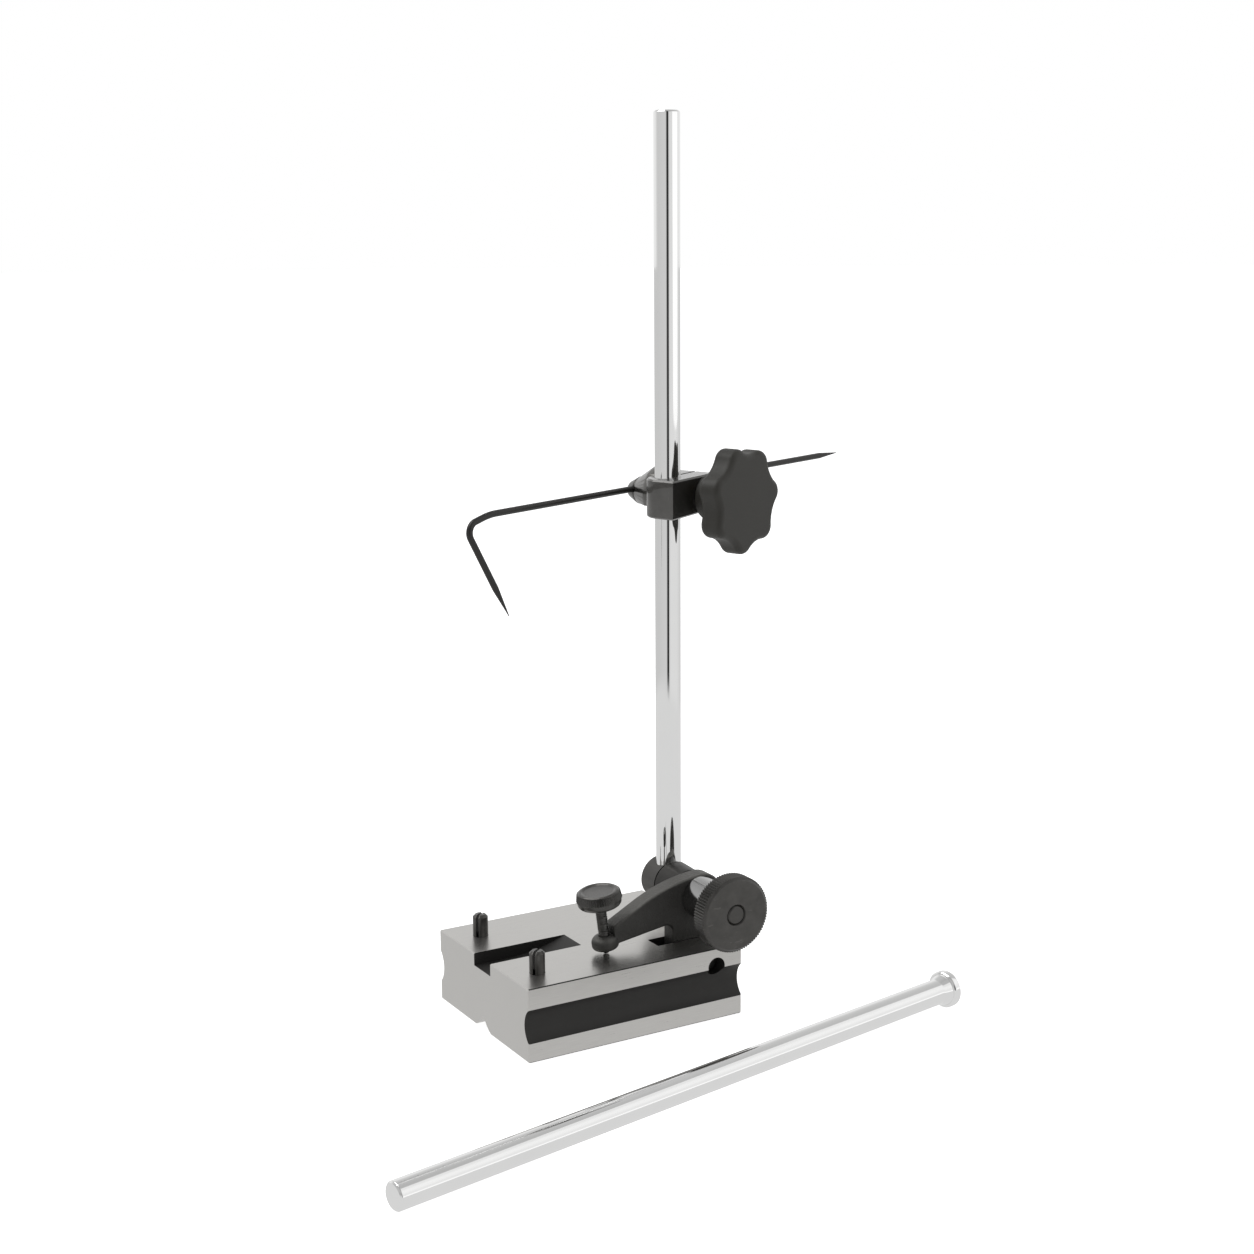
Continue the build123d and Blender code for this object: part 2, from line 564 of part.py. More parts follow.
def scriber_bolt():
    """The long clamp bolt with the tapered head that holds the scriber."""
    head_start = CONE_END - FACE_GAP
    bolt = turned(
        (BOLT_HEAD_END_RADIUS, SCRIBER_AT - BOLT_HEAD_LENGTH),
        (BOLT_HEAD_RADIUS, SCRIBER_AT),
        (BOLT_HEAD_RADIUS, head_start),
        (BOLT_RADIUS, head_start),
        (BOLT_RADIUS, BOLT_END - BOLT_POINT),
        (BOLT_RADIUS - BOLT_POINT, BOLT_END),
    )
    bolt = fillet(bolt.edges().filter_by(GeomType.CIRCLE).sort_by(Axis.Z)[0], BOLT_HEAD_ROUND)
    return BOLT_PLACE * (TO_X * bolt - scriber_hole(RUN))


def scriber_sleeve():
    """The cone between the far ear and the scriber, notched for the wire."""
    cone = turned(
        (CONE_SMALL_RADIUS, CONE_END),
        (CONE_RADIUS, CONE_BACK - CONE_RIM),
        (CONE_RADIUS, CONE_BACK - CONE_EDGE),
        (CONE_RADIUS - CONE_EDGE, CONE_BACK),
    )
    cone = TO_X * cone
    cone -= slab(
        (CONE_END - 1, -2 * CONE_RADIUS, -2 * CONE_RADIUS), (CONE_BACK + 1, 2 * CONE_RADIUS, -CONE_FLAT)
    )
    cone -= bar_along_x(BOLT_RADIUS + NECK_GAP, CONE_END - 1, CONE_BACK + 1)
    return BOLT_PLACE * (cone - scriber_hole(NECK_GAP))


def knob_washer():
    """The plain washer between the near ear and the knob."""
    end = CLAMP_KNOB_FACE + WASHER_THICKNESS
    washer = bar_along_x(WASHER_RADIUS, CLAMP_KNOB_FACE, end)
    return BOLT_PLACE * (washer - bar_along_x(BOLT_RADIUS + NECK_GAP, CLAMP_KNOB_FACE - 1, end + 1))


# ---------------------------------------------------------------- star knob
def lobed_face():
    """The knob's front view: round lobes joined by tangent hollows."""
    half_step = pi / KNOB_LOBES
    lobe_at = KNOB_RADIUS - KNOB_LOBE_ROUND
    reach = lobe_at * cos(half_step)
    hollow = (lobe_at**2 + KNOB_WAIST**2 - 2 * reach * KNOB_WAIST - KNOB_LOBE_ROUND**2) / (
        2 * (KNOB_LOBE_ROUND + reach - KNOB_WAIST)
    )
    hollow_at = KNOB_WAIST + hollow
    share = KNOB_LOBE_ROUND / (KNOB_LOBE_ROUND + hollow)
    join = (
        lobe_at + share * (hollow_at * cos(half_step) - lobe_at),
        share * hollow_at * sin(half_step),
    )

    def turn(point, angle):
        return (
            point[0] * cos(angle) - point[1] * sin(angle),
            point[0] * sin(angle) + point[1] * cos(angle),
        )

    arcs = []
    for lobe in range(KNOB_LOBES):
        angle = 2 * half_step * lobe
        start, end = turn((join[0], -join[1]), angle), turn(join, angle)
        next_start = turn((join[0], -join[1]), angle + 2 * half_step)
        arcs.append(ThreePointArc(start, turn((KNOB_RADIUS, 0), angle), end))
        arcs.append(ThreePointArc(end, turn((KNOB_WAIST, 0), angle + half_step), next_start))
    return make_face(arcs)


def knob():
    """The moulded star knob with its stem."""
    star = extrude(lobed_face(), KNOB_THICKNESS)
    rims = star.faces().filter_by(Axis.Z).edges()
    star = Pos(0, 0, KNOB_BACK) * Rot(0, 0, KNOB_TURN) * fillet(rims, KNOB_EDGE)
    stem = round_bar(KNOB_STEM_RADIUS, KNOB_STEM_START, KNOB_BACK + KNOB_EDGE)
    moulding = star + stem
    moulding -= round_bar(INSERT_RADIUS, KNOB_STEM_START - 1, INSERT_START + INSERT_LENGTH)
    return BOLT_PLACE * TO_X * moulding


def knob_insert():
    """The threaded bush moulded into the knob."""
    end = INSERT_START + INSERT_LENGTH
    bush = bar_along_x(INSERT_RADIUS, INSERT_START, end)
    return BOLT_PLACE * (bush - bar_along_x(BOLT_RADIUS + RUN, INSERT_START - 1, end + 1))


# ---------------------------------------------------------------- scriber
def tapered_end(base, tip):
    """A cone from the full wire at base to the point at tip."""
    length = (tip - base).length
    cone = Pos(0, 0, length / 2) * Cone(SCRIBER_RADIUS, SCRIBER_POINT, length)
    return Plane(origin=base, z_dir=tip - base) * cone


def scriber():
    """The bent wire with a point at each end."""
    rear_point = Vector(SCRIBER_AT, SCRIBER_REAR, 0)
    dip = Vector(SCRIBER_AT, -SCRIBER_FRONT, 0)
    corner = dip + Vector(0, -SCRIBER_DIP_LENGTH, -SCRIBER_DIP)
    leg_point = corner + Vector(0, SCRIBER_LEG_BACK, -SCRIBER_LEG_DOWN)
    rear_full = rear_point - Vector(0, SCRIBER_TAPER, 0)
    leg_full = leg_point - (leg_point - corner).normalized() * SCRIBER_TAPER
    route = FilletPolyline(
        rear_full, dip, corner, leg_full, radius=[SCRIBER_DIP_BEND, SCRIBER_LEG_BEND]
    )
    wire = sweep(Plane(origin=rear_full, z_dir=(0, -1, 0)) * Circle(SCRIBER_RADIUS), path=route)
    wire += tapered_end(rear_full, rear_point)
    wire += tapered_end(leg_full, leg_point)
    return BOLT_PLACE * SCRIBER_PLACE * wire


# ---------------------------------------------------------------- spare spindle
def spare_spindle():
    """The second, flanged rod, lying on the same surface as the base."""
    inner = SPINDLE_RADIUS - SPINDLE_CHAMFER
    flange = SPARE_FLANGE_DIAMETER / 2
    flange_start = SPARE_LENGTH - SPARE_FLANGE_THICKNESS
    rod = turned(
        (inner, 0),
        (SPINDLE_RADIUS, SPINDLE_CHAMFER),
        (SPINDLE_RADIUS, flange_start - SPARE_NECK_LENGTH),
        (SPARE_NECK_RADIUS, flange_start),
        (flange - SPARE_FLANGE_EDGE, flange_start),
        (flange, flange_start + SPARE_FLANGE_EDGE),
        (flange, SPARE_LENGTH - SPARE_FLANGE_EDGE),
        (flange - SPARE_FLANGE_EDGE, SPARE_LENGTH),
    )
    rise = degrees(asin((flange - SPINDLE_RADIUS) / flange_start))
    level = Pos(0, 0, SPINDLE_RADIUS) * Rot(0, -rise, 0) * TO_X * rod
    lift = -level.bounding_box().min.Z
    return Pos(SPARE_END[0], SPARE_END[1], lift) * Rot(0, 0, SPARE_TURN) * level


# ---------------------------------------------------------------- all pieces
PIECES = {
    "base_block": base_block,
    "gauge_pin_left": lambda: gauge_pin(-1),
    "gauge_pin_right": lambda: gauge_pin(1),
    "rocker_pivot_pin": rocker_pivot_pin,
    "rocker_spring": rocker_spring,
    "rocker_bracket": rocker_bracket,
    "adjusting_screw": adjusting_screw,
    "screw_thrust_pin": screw_thrust_pin,
    "swivel_bolt": swivel_bolt,
    "swivel_sleeve": swivel_sleeve,
    "spacer_sleeve": spacer_sleeve,
    "clamp_nut": clamp_nut,
    "spindle": spindle,
    "scriber_clamp_body": scriber_clamp_body,
    "scriber_bolt": scriber_bolt,
    "scriber_sleeve": scriber_sleeve,
    "knob_washer": knob_washer,
    "knob": knob,
    "knob_insert": knob_insert,
    "scriber": scriber,
    "spare_spindle": spare_spindle,
}


def main():
    """Write each piece to its own file."""
    os.makedirs("parts", exist_ok=True)
    for name, make in PIECES.items():
        piece = make()
        piece.label = name
        export_step(piece, f"parts/{name}.step")


main()
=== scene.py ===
"""Surface gauge: ground steel base, blackened rocker and clamp parts, plated spindles and a star knob.

Metres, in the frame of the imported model. Each operator below makes one piece, or a group of like pieces.
"""

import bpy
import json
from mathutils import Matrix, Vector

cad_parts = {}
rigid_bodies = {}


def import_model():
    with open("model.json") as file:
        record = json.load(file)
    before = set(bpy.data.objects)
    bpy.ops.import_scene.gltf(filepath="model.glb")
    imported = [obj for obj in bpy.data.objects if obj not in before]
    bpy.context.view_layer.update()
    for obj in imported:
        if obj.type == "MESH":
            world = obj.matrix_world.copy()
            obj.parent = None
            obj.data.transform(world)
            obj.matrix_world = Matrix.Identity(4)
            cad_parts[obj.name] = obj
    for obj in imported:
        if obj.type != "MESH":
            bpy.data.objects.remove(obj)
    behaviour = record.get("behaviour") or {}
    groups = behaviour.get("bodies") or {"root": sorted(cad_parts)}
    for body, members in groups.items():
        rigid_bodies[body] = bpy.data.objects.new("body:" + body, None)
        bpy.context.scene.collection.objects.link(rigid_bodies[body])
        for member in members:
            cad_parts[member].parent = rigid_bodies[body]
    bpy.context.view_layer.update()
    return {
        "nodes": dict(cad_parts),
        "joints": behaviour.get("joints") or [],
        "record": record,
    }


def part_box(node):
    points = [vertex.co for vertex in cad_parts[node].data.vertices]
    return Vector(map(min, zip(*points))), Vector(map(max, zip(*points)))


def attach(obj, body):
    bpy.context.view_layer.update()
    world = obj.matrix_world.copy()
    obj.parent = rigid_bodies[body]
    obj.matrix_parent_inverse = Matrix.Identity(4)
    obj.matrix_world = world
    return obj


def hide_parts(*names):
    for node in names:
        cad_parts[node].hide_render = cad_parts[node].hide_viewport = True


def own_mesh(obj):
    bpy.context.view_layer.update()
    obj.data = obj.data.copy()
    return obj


bl_info = {
    "name": "Surface gauge",
    "version": (1, 0, 0),
    "blender": (4, 5, 0),
    "location": "View3D > Sidebar > Gauge",
    "description": "Builds the finishes and fine shapes of a surface gauge round its construction model",
    "category": "Object",
}

import json
from math import acos, atan2, cos, hypot, pi, radians, sin, tan

import bmesh
import bpy
from bpy.props import FloatProperty, FloatVectorProperty, IntProperty, PointerProperty
from mathutils import Matrix, Vector

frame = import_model()

MM = 0.001
NODES = frame["nodes"]
JOINTS = {joint["name"]: joint for joint in frame["joints"]}
MOUNTS = {mount["name"]: mount for mount in frame["record"]["mounts"]}
BODY_OF = {n: body for body, nodes in frame["record"]["behaviour"]["bodies"].items() for n in nodes}
SIDES = 128           # facets round a turned piece
SOFT_EDGE = radians(32)   # edges sharper than this stay crisp


# ---------------------------------------------------------------- places from the frame
def place(origin, axis, start=None):
    """A matrix whose Z runs along axis, and whose X points as near to start as it can."""
    along = Vector(axis).normalized()
    first = Vector(start if start else (0, 0, 1))
    if abs(first.dot(along)) > 0.95:
        first = Vector((1, 0, 0))
    across = (first - along * first.dot(along)).normalized()
    turn = Matrix((across, along.cross(across), along)).transposed()
    return Matrix.Translation(origin) @ turn.to_4x4()


SWIVEL = place(JOINTS["swivel_tilt"]["pos_m"], JOINTS["swivel_tilt"]["axis"])
SCREW = place(JOINTS["screw_turn"]["pos_m"], JOINTS["screw_turn"]["axis"])
BOLT = place(JOINTS["knob_turn"]["pos_m"], JOINTS["knob_turn"]["axis"], start=(0, 0, -1))
UPRIGHT = place(JOINTS["spindle_turn"]["pos_m"], JOINTS["spindle_turn"]["axis"], start=(1, 0, 0))
SPARE = place(MOUNTS["spare_spindle_rod"]["pos_m"], -Vector(MOUNTS["spare_spindle_rod"]["axis"]))


def reach(node, at):
    """Lowest and highest place of a node along the Z of a place, and its largest radius round it."""
    inward = at.inverted()
    points = [inward @ v.co for v in NODES[node].data.vertices]
    heights = [p.z for p in points]
    return min(heights), max(heights), max(hypot(p.x, p.y) for p in points)


# ---------------------------------------------------------------- sizes and colours
def colour(name, description, default):
    """A colour property."""
    return FloatVectorProperty(
        name=name, description=description, subtype="COLOR", size=3, min=0, max=1, default=default
    )


def length(name, description, default):
    """A length property, given in millimetres and held in metres."""
    return FloatProperty(name=name, description=description, unit="LENGTH", min=0, default=default * MM)


class GaugeFinishes(bpy.types.PropertyGroup):
    """Colours of the gauge's metals and plastic."""

    ground: colour("Ground steel", "Surface ground faces of the base", (0.585, 0.575, 0.555))
    casting: colour("Casting", "Blackened rocker", (0.046, 0.045, 0.042))
    oxide: colour("Black oxide", "Blackened screws, nut and clamp", (0.088, 0.085, 0.080))
    plating: colour("Plating", "Chromed spindles and spacer", (0.86, 0.86, 0.855))
    wire: colour("Scriber", "Hardened and blackened scriber", (0.040, 0.039, 0.038))
    plastic: colour("Plastic", "Moulded star knob", (0.024, 0.0225, 0.0185))
    bush: colour("Bush", "Brass bush in the knob", (0.70, 0.50, 0.22))
    spring: colour("Spring", "Spring under the rocker's heel", (0.45, 0.45, 0.44))


class GaugeKnurls(bpy.types.PropertyGroup):
    """Knurled rims, and the thread that shows."""

    nut_ridges: IntProperty(name="Nut ridges", description="Ridges round the nut", min=12, default=84)
    nut_depth: length("Nut ridge depth", "Height of the nut's ridges", 0.42)
    head_ridges: IntProperty(name="Head ridges", description="Ridges round the screw", min=12, default=56)
    head_depth: length("Head ridge depth", "Height of the screw head's ridges", 0.34)
    pitch: length("Screw pitch", "Pitch of the adjusting screw's thread", 0.6)
    thread_depth: length("Thread depth", "Height of the adjusting screw's thread", 0.16)
    spring_turns: FloatProperty(name="Spring turns", description="Turns of the heel spring", min=1, default=6)


class GaugeKnob(bpy.types.PropertyGroup):
    """Form of the star knob."""

    lobes: IntProperty(name="Lobes", description="Lobes round the knob", min=3, default=7)
    waist: length("Waist", "Radius between two lobes", 14.3)
    lobe_round: length("Lobe round", "Radius of a lobe's own curve", 4.1)
    edge: length("Edge", "Rounding of the rim", 2.0)
    thickness: length("Thickness", "Thickness of the star", 8.0)
    stem: length("Stem", "Radius of the stem", 7.0)
    bore: length("Bore", "Radius of the hole for the bush", 4.5)
    first_lobe: FloatProperty(
        name="First lobe", description="Turn from straight down to the first lobe",
        subtype="ANGLE", default=radians(44.9),
    )


class GaugeScriber(bpy.types.PropertyGroup):
    """Route of the scriber's wire, from the clamp's bolt."""

    front: length("Front", "Straight stretch ahead of the bolt", 69.8)
    dip: length("Dip", "Fall of the wire before its corner", 2.4)
    dip_length: length("Dip length", "Length of that fall", 10.4)
    leg_down: length("Leg down", "Fall of the leg", 29.0)
    leg_back: length("Leg back", "How far the leg's point comes back", 17.6)
    dip_bend: length("Dip bend", "Bend radius where the wire starts to fall", 25.0)
    corner_bend: length("Corner bend", "Bend radius at the corner", 3.2)
    wire: length("Wire", "Radius of the wire", 1.0)
    taper: length("Taper", "Length of each point", 10.8)
    point: length("Point", "Radius of each point's end", 0.12)


class GaugeStage(bpy.types.PropertyGroup):
    """Camera and light."""

    camera_at: FloatVectorProperty(
        name="Camera", description="Place of the camera", subtype="TRANSLATION", unit="LENGTH",
        default=(0.52024, -0.29101, 0.24103),
    )
    azimuth: FloatProperty(
        name="Azimuth", description="0 looks along +Y", subtype="ANGLE", default=radians(59.571)
    )
    elevation: FloatProperty(
        name="Elevation", description="Downward slope of the view", subtype="ANGLE", default=radians(11.292)
    )
    roll: FloatProperty(
        name="Roll", description="Turn about the view's line", subtype="ANGLE", default=radians(-0.378)
    )
    lens: FloatProperty(name="Lens", description="Focal length in mm on 36 mm", min=10, default=57.29)
    key: FloatProperty(name="Key light", description="Power of the large lamp in watts", min=0, default=9.0)
    fill: FloatProperty(name="Fill light", description="Power of the side lamp in watts", min=0, default=2.6)
    reflected: FloatProperty(
        name="Reflected floor", description="How bright the floor is in the metal", min=0, default=0.76
    )
    sky: FloatProperty(name="Sky", description="Strength of the even light", min=0, default=0.55)


GROUPS = {
    "gauge_finishes": GaugeFinishes,
    "gauge_knurls": GaugeKnurls,
    "gauge_knob": GaugeKnob,
    "gauge_scriber": GaugeScriber,
    "gauge_stage": GaugeStage,
}


# ---------------------------------------------------------------- shader maths
class Wire:
    """A value in a node tree. Sums and products of wires and numbers add Math nodes."""

    def __init__(self, finish, socket):
        self.finish = finish
        self.socket = socket

    def _math(self, operation, first, second):
        return self.finish.node("ShaderNodeMath", {"operation": operation}, {0: first, 1: second})

    def __add__(self, other):
        return self._math("ADD", self, other)

    __radd__ = __add__

    def __sub__(self, other):
        return self._math("SUBTRACT", self, other)

    def __rsub__(self, other):
        return self._math("SUBTRACT", other, self)

    def __mul__(self, other):
        return self._math("MULTIPLY", self, other)

    __rmul__ = __mul__

    def __pow__(self, other):
        return self._math("POWER", self, other)

    def over(self, level, width):
        """0 below a level and 1 above it, with a soft step of a width."""
        return self.finish.node(
            "ShaderNodeMapRange", {"interpolation_type": "SMOOTHSTEP"},
            {0: self, 1: level - width / 2, 2: level + width / 2, 3: 0.0, 4: 1.0},
        )

    def sine(self):
        """The sine of the value."""
        return self.finish.node("ShaderNodeMath", {"operation": "SINE"}, {0: self})


class Finish:
    """A material or world under construction, on its own node tree."""

    def __init__(self, owner):
        self.owner = owner
        owner.use_nodes = True
        self.tree = owner.node_tree
        self.tree.nodes.clear()

    def node(self, kind, settings=None, values=None, out=0):
        """Adds a node, sets it up, feeds its sockets, and gives one of its outputs as a wire."""
        made = self.tree.nodes.new(kind)
        for name, value in (settings or {}).items():
            setattr(made, name, value)
        for key, value in (values or {}).items():
            if isinstance(value, Wire):
                self.tree.links.new(value.socket, made.inputs[key])
            else:
                made.inputs[key].default_value = value
        return Wire(self, made.outputs[out]) if len(made.outputs) else None

    def here(self):
        """The point on the piece, in metres."""
        return self.node("ShaderNodeTexCoord", out=3)

    def facing(self):
        """The way the surface faces on the piece at rest."""
        return self.node("ShaderNodeTexCoord", out=1)

    def stretched(self, scale, turn=(0, 0, 0)):
        """The point on the piece, scaled along each axis after a turn."""
        values = {0: self.here(), 2: turn, 3: scale}
        return self.node("ShaderNodeMapping", {"vector_type": "POINT"}, values)

    def noise(self, at, scale, detail=3.0, roughness=0.55):
        """Cloudy noise from about 0.3 to 0.7."""
        values = {"Vector": at, "Scale": scale, "Detail": detail, "Roughness": roughness}
        return self.node("ShaderNodeTexNoise", {"noise_dimensions": "3D"}, values)

    def from_axis(self, at):
        """The distance from the Z of a place."""
        origin, along = tuple(at.translation), tuple(at.to_3x3().col[2])
        offset = self.node("ShaderNodeVectorMath", {"operation": "SUBTRACT"}, {0: self.here(), 1: origin})
        turned = self.node("ShaderNodeVectorMath", {"operation": "CROSS_PRODUCT"}, {0: offset, 1: along})
        return self.node("ShaderNodeVectorMath", {"operation": "LENGTH"}, {0: turned}, out=1)

    def parts(self, vector):
        """The three parts of a vector."""
        self.node("ShaderNodeSeparateXYZ", None, {0: vector})
        return [Wire(self, socket) for socket in self.tree.nodes[-1].outputs]

    def square_to(self, at):
        """1 where the surface faces along the Z of a place, and 0 where it faces away from it."""
        facing = self.facing()
        along = tuple(at.to_3x3().col[2])
        dot = self.node("ShaderNodeVectorMath", {"operation": "DOT_PRODUCT"}, {0: facing, 1: along}, out=1)
        return self.node("ShaderNodeMath", {"operation": "ABSOLUTE"}, {0: dot})

    def blend(self, mask, first, second):
        """A colour from first to second, as the mask goes from 0 to 1."""
        return self.node(
            "ShaderNodeMix", {"data_type": "RGBA"}, {0: mask, 6: solid(first), 7: solid(second)}, out=2
        )

    def bump(self, height, depth, under=None):
        """A normal bent by a height of 0 to 1 over a real depth in metres."""
        values = {"Strength": 1.0, "Distance": depth, "Height": height}
        if under:
            values["Normal"] = under
        return self.node("ShaderNodeBump", None, values)

    def surface(self, **values):
        """The surface shader, fed by socket name and wired to the output. Gives the material."""
        named = {key.replace("_", " "): solid(value) for key, value in values.items()}
        shader = self.node("ShaderNodeBsdfPrincipled", None, named)
        self.output(shader)
        return self.owner

    def output(self, shader):
        """Wires a shader to the output."""
        owner = "World" if isinstance(self.owner, bpy.types.World) else "Material"
        self.node(f"ShaderNodeOutput{owner}", None, {"Surface": shader})


def solid(value):
    """A colour of three numbers gets its fourth, and anything else stays."""
    if isinstance(value, Wire) or not hasattr(value, "__len__") or len(value) != 3:
        return value
    return (*value, 1.0)


def shade(tone, factor):
    """A colour made lighter or darker."""
    return tuple(min(1.0, part * factor) for part in tone)


# ---------------------------------------------------------------- finishes
def finish_named(name):
    """A new material of a name."""
    return Finish(bpy.data.materials.new(name))


def ground_steel():
    """Surface ground steel: fine lengthwise grain, faint smudges and a few stains."""
    make = finish_named("ground_steel")
    tone = bpy.context.scene.gauge_finishes.ground
    grain = make.noise(make.stretched((5200, 160, 5200)), 1.0, detail=4.0)
    fine = make.noise(make.stretched((9000, 900, 9000)), 1.0, detail=2.0)
    smudge = make.noise(make.here(), 60.0, detail=4.0)
    mask = grain * 0.8 + smudge * 0.2
    return make.surface(
        Base_Color=make.blend(mask, shade(tone, 0.86), shade(tone, 1.12)),
        Metallic=1.0,
        Roughness=0.22 + grain * 0.10 + smudge * 0.05,
        Normal=make.bump(grain * 0.6 + fine * 0.4, 0.0022 * MM),
    )


def black_groove():
    """The blackened, unground grooves and slots of the base."""
    make = finish_named("black_groove")
    tone = bpy.context.scene.gauge_finishes.oxide
    grain = make.noise(make.stretched((2600, 220, 2600)), 1.0, detail=4.0)
    cloud = make.noise(make.here(), 160.0)
    return make.surface(
        Base_Color=make.blend(cloud * 0.6 + grain * 0.4, shade(tone, 0.26), shade(tone, 0.42)),
        Metallic=0.5,
        Roughness=0.46 + grain * 0.16,
        Normal=make.bump(grain, 0.010 * MM),
    )


def cast_black():
    """The blackened casting: pitted skin with coarse ripples, and painted light on its upward faces."""
    make = finish_named("cast_black")
    tone = bpy.context.scene.gauge_finishes.casting
    ripple = make.noise(make.stretched((420, 700, 420)), 1.0, detail=5.0, roughness=0.6)
    pits = make.node("ShaderNodeTexVoronoi", {"feature": "F1"}, {"Vector": make.here(), "Scale": 1500.0})
    height = ripple * 0.75 + pits.over(0.35, 0.5) * 0.25
    cloud = make.noise(make.here(), 220.0)
    rise = make.parts(make.facing())[2]
    # Upward faces get a lighter colour: painted light from above, broken up by the ripples.
    painted_top_light = rise.over(0.5, 0.7) * (0.55 + ripple * 0.5)
    return make.surface(
        Base_Color=make.blend(painted_top_light * 0.8 + cloud * 0.2, shade(tone, 0.9), shade(tone, 2.8)),
        Metallic=0.55,
        Roughness=0.36 + ripple * 0.24,
        Normal=make.bump(height, 0.22 * MM),
    )


def black_steel(name, at, brightness=1.0, roughness=0.34, marks=0.010, rim=1.0, oil=0.25):
    """Oiled black oxide on turned steel, with tool marks round the Z of a place.

    A rim below 1 darkens the steel, its sides more than its ends: painted shade on the sides. One above 1
    lightens it the same way: painted light on the sides.
    """
    make = finish_named(name)
    tone = shade(bpy.context.scene.gauge_finishes.oxide, brightness)
    radius = make.from_axis(at)
    wobble = make.noise(make.here(), 900.0)
    mark_pitch = 0.16 * MM
    lines = (radius * (2 * pi / mark_pitch) + wobble * 2.0).sine() * 0.5 + 0.5
    cloud = make.noise(make.here(), 240.0, detail=4.0)
    scratch = make.noise(make.stretched((3200, 240, 900), (0.4, 0.3, 0.8)), 1.0, detail=2.0)
    mark = scratch.over(0.68, 0.06)
    # square and rim colour the sides against the ends: painted shade where rim is below 1, painted light
    # where it is above 1.
    square = make.square_to(at).over(0.7, 0.3)
    low, high = shade(tone, 0.78 * rim), shade(tone, 1.5)
    return make.surface(
        Base_Color=make.blend((cloud * 0.8 + mark * 0.35) * (square * (1 - rim) + rim), low, high),
        Coat_Weight=oil,
        Metallic=0.9,
        Roughness=roughness + cloud * 0.14 + lines * 0.04,
        Normal=make.bump(lines * 0.6 + cloud * 0.4, marks * MM),
    )


def plated(name, roughness=0.035, brightness=1.0):
    """Polished plating with faint handling marks."""
    make = finish_named(name)
    tone = shade(bpy.context.scene.gauge_finishes.plating, brightness)
    film = make.noise(make.here(), 90.0, detail=5.0)
    speck = make.noise(make.here(), 2400.0, detail=2.0)
    return make.surface(
        Base_Color=make.blend(film, shade(tone, 0.97), shade(tone, 1.02)),
        Metallic=1.0,
        Roughness=roughness + film.over(0.58, 0.2) * 0.03 + speck.over(0.7, 0.1) * 0.04,
        Normal=make.bump(film, 0.004 * MM),
    )


def scriber_steel():
    """Drawn and blackened wire: fine lines along it."""
    make = finish_named("scriber_steel")
    tone = bpy.context.scene.gauge_finishes.wire
    streak = make.noise(make.stretched((2600, 260, 2600)), 1.0, detail=3.0)
    return make.surface(
        Base_Color=make.blend(streak, shade(tone, 0.8), shade(tone, 1.35)),
        Metallic=0.8,
        Roughness=0.30 + streak * 0.14,
        Normal=make.bump(streak, 0.008 * MM),
    )


def knob_plastic():
    """Moulded plastic with a fine matt texture."""
    make = finish_named("knob_plastic")
    tone = bpy.context.scene.gauge_finishes.plastic
    texture = make.noise(make.here(), 3800.0, detail=3.0)
    cloud = make.noise(make.here(), 130.0)
    return make.surface(
        Base_Color=make.blend(cloud, shade(tone, 0.9), shade(tone, 1.12)),
        Roughness=0.42 + texture * 0.16,
        Normal=make.bump(texture, 0.02 * MM),
        Specular_IOR_Level=0.45,
    )


def plain_metal(name, tone, roughness):
    """Brass or spring wire, with a little mottling."""
    make = finish_named(name)
    cloud = make.noise(make.here(), 700.0)
    return make.surface(
        Base_Color=make.blend(cloud, shade(tone, 0.85), shade(tone, 1.1)),
        Metallic=1.0,
        Roughness=roughness + cloud * 0.12,
        Normal=make.bump(cloud, 0.01 * MM),
    )


# ---------------------------------------------------------------- meshes
def rounded(outline, closed=False, steps=4):
    """The outline's (radius, along, rounding) points with each corner made an arc, as (radius, along)."""
    line = []
    count = len(outline)
    for i, (x, y, radius) in enumerate(outline):
        corner = Vector((x, y))
        ends = closed or 0 < i < count - 1
        if not radius or not ends:
            line.append(corner)
            continue
        before = (Vector(outline[i - 1][:2]) - corner).normalized()
        after = (Vector(outline[(i + 1) % count][:2]) - corner).normalized()
        half = acos(max(-1.0, min(1.0, before.dot(after)))) / 2
        centre = corner + (before + after).normalized() * radius / sin(half)
        start = corner + before * radius / tan(half) - centre
        end = corner + after * radius / tan(half) - centre
        sweep = start.angle_signed(end)
        for step in range(steps + 1):
            turn = Matrix.Rotation(-sweep * step / steps, 2)
            line.append(centre + turn @ start)
    return [(max(0.0, point.x), point.y) for point in line]


def piece_from(bm, name):
    """A new object for a mesh under construction, which ends here."""
    mesh = bpy.data.meshes.new(name)
    bm.to_mesh(mesh)
    bm.free()
    piece = bpy.data.objects.new(name, mesh)
    bpy.context.scene.collection.objects.link(piece)
    return piece


def skin(name, rings, closed=False):
    """A mesh over rings of points: each ring has as many points as the next, or just one."""
    bm = bmesh.new()
    made = [[bm.verts.new(point) for point in ring] for ring in rings]
    pairs = list(zip(made, made[1:])) + ([(made[-1], made[0])] if closed else [])
    for lower, upper in pairs:
        count = max(len(lower), len(upper))
        for i in range(count):
            j = (i + 1) % count
            corners = [ring[k % len(ring)] for ring, k in ((lower, i), (lower, j), (upper, j), (upper, i))]
            bm.faces.new(list(dict.fromkeys(corners)))
    bmesh.ops.recalc_face_normals(bm, faces=bm.faces)
    return piece_from(bm, name)


def ring_at(radius, height, sides):
    """A ring of points round Z, or the one point on it."""
    if radius < 1e-7:
        return [Vector((0, 0, height))]
    angles = [2 * pi * i / sides for i in range(sides)]
    return [Vector((radius * cos(angle), radius * sin(angle), height)) for angle in angles]


def turned(name, outline, closed=False):
    """A turned piece about Z from (radius, along, rounding) points."""
    rings = [ring_at(radius, height, SIDES) for radius, height in rounded(outline, closed)]
    return skin(name, rings, closed)


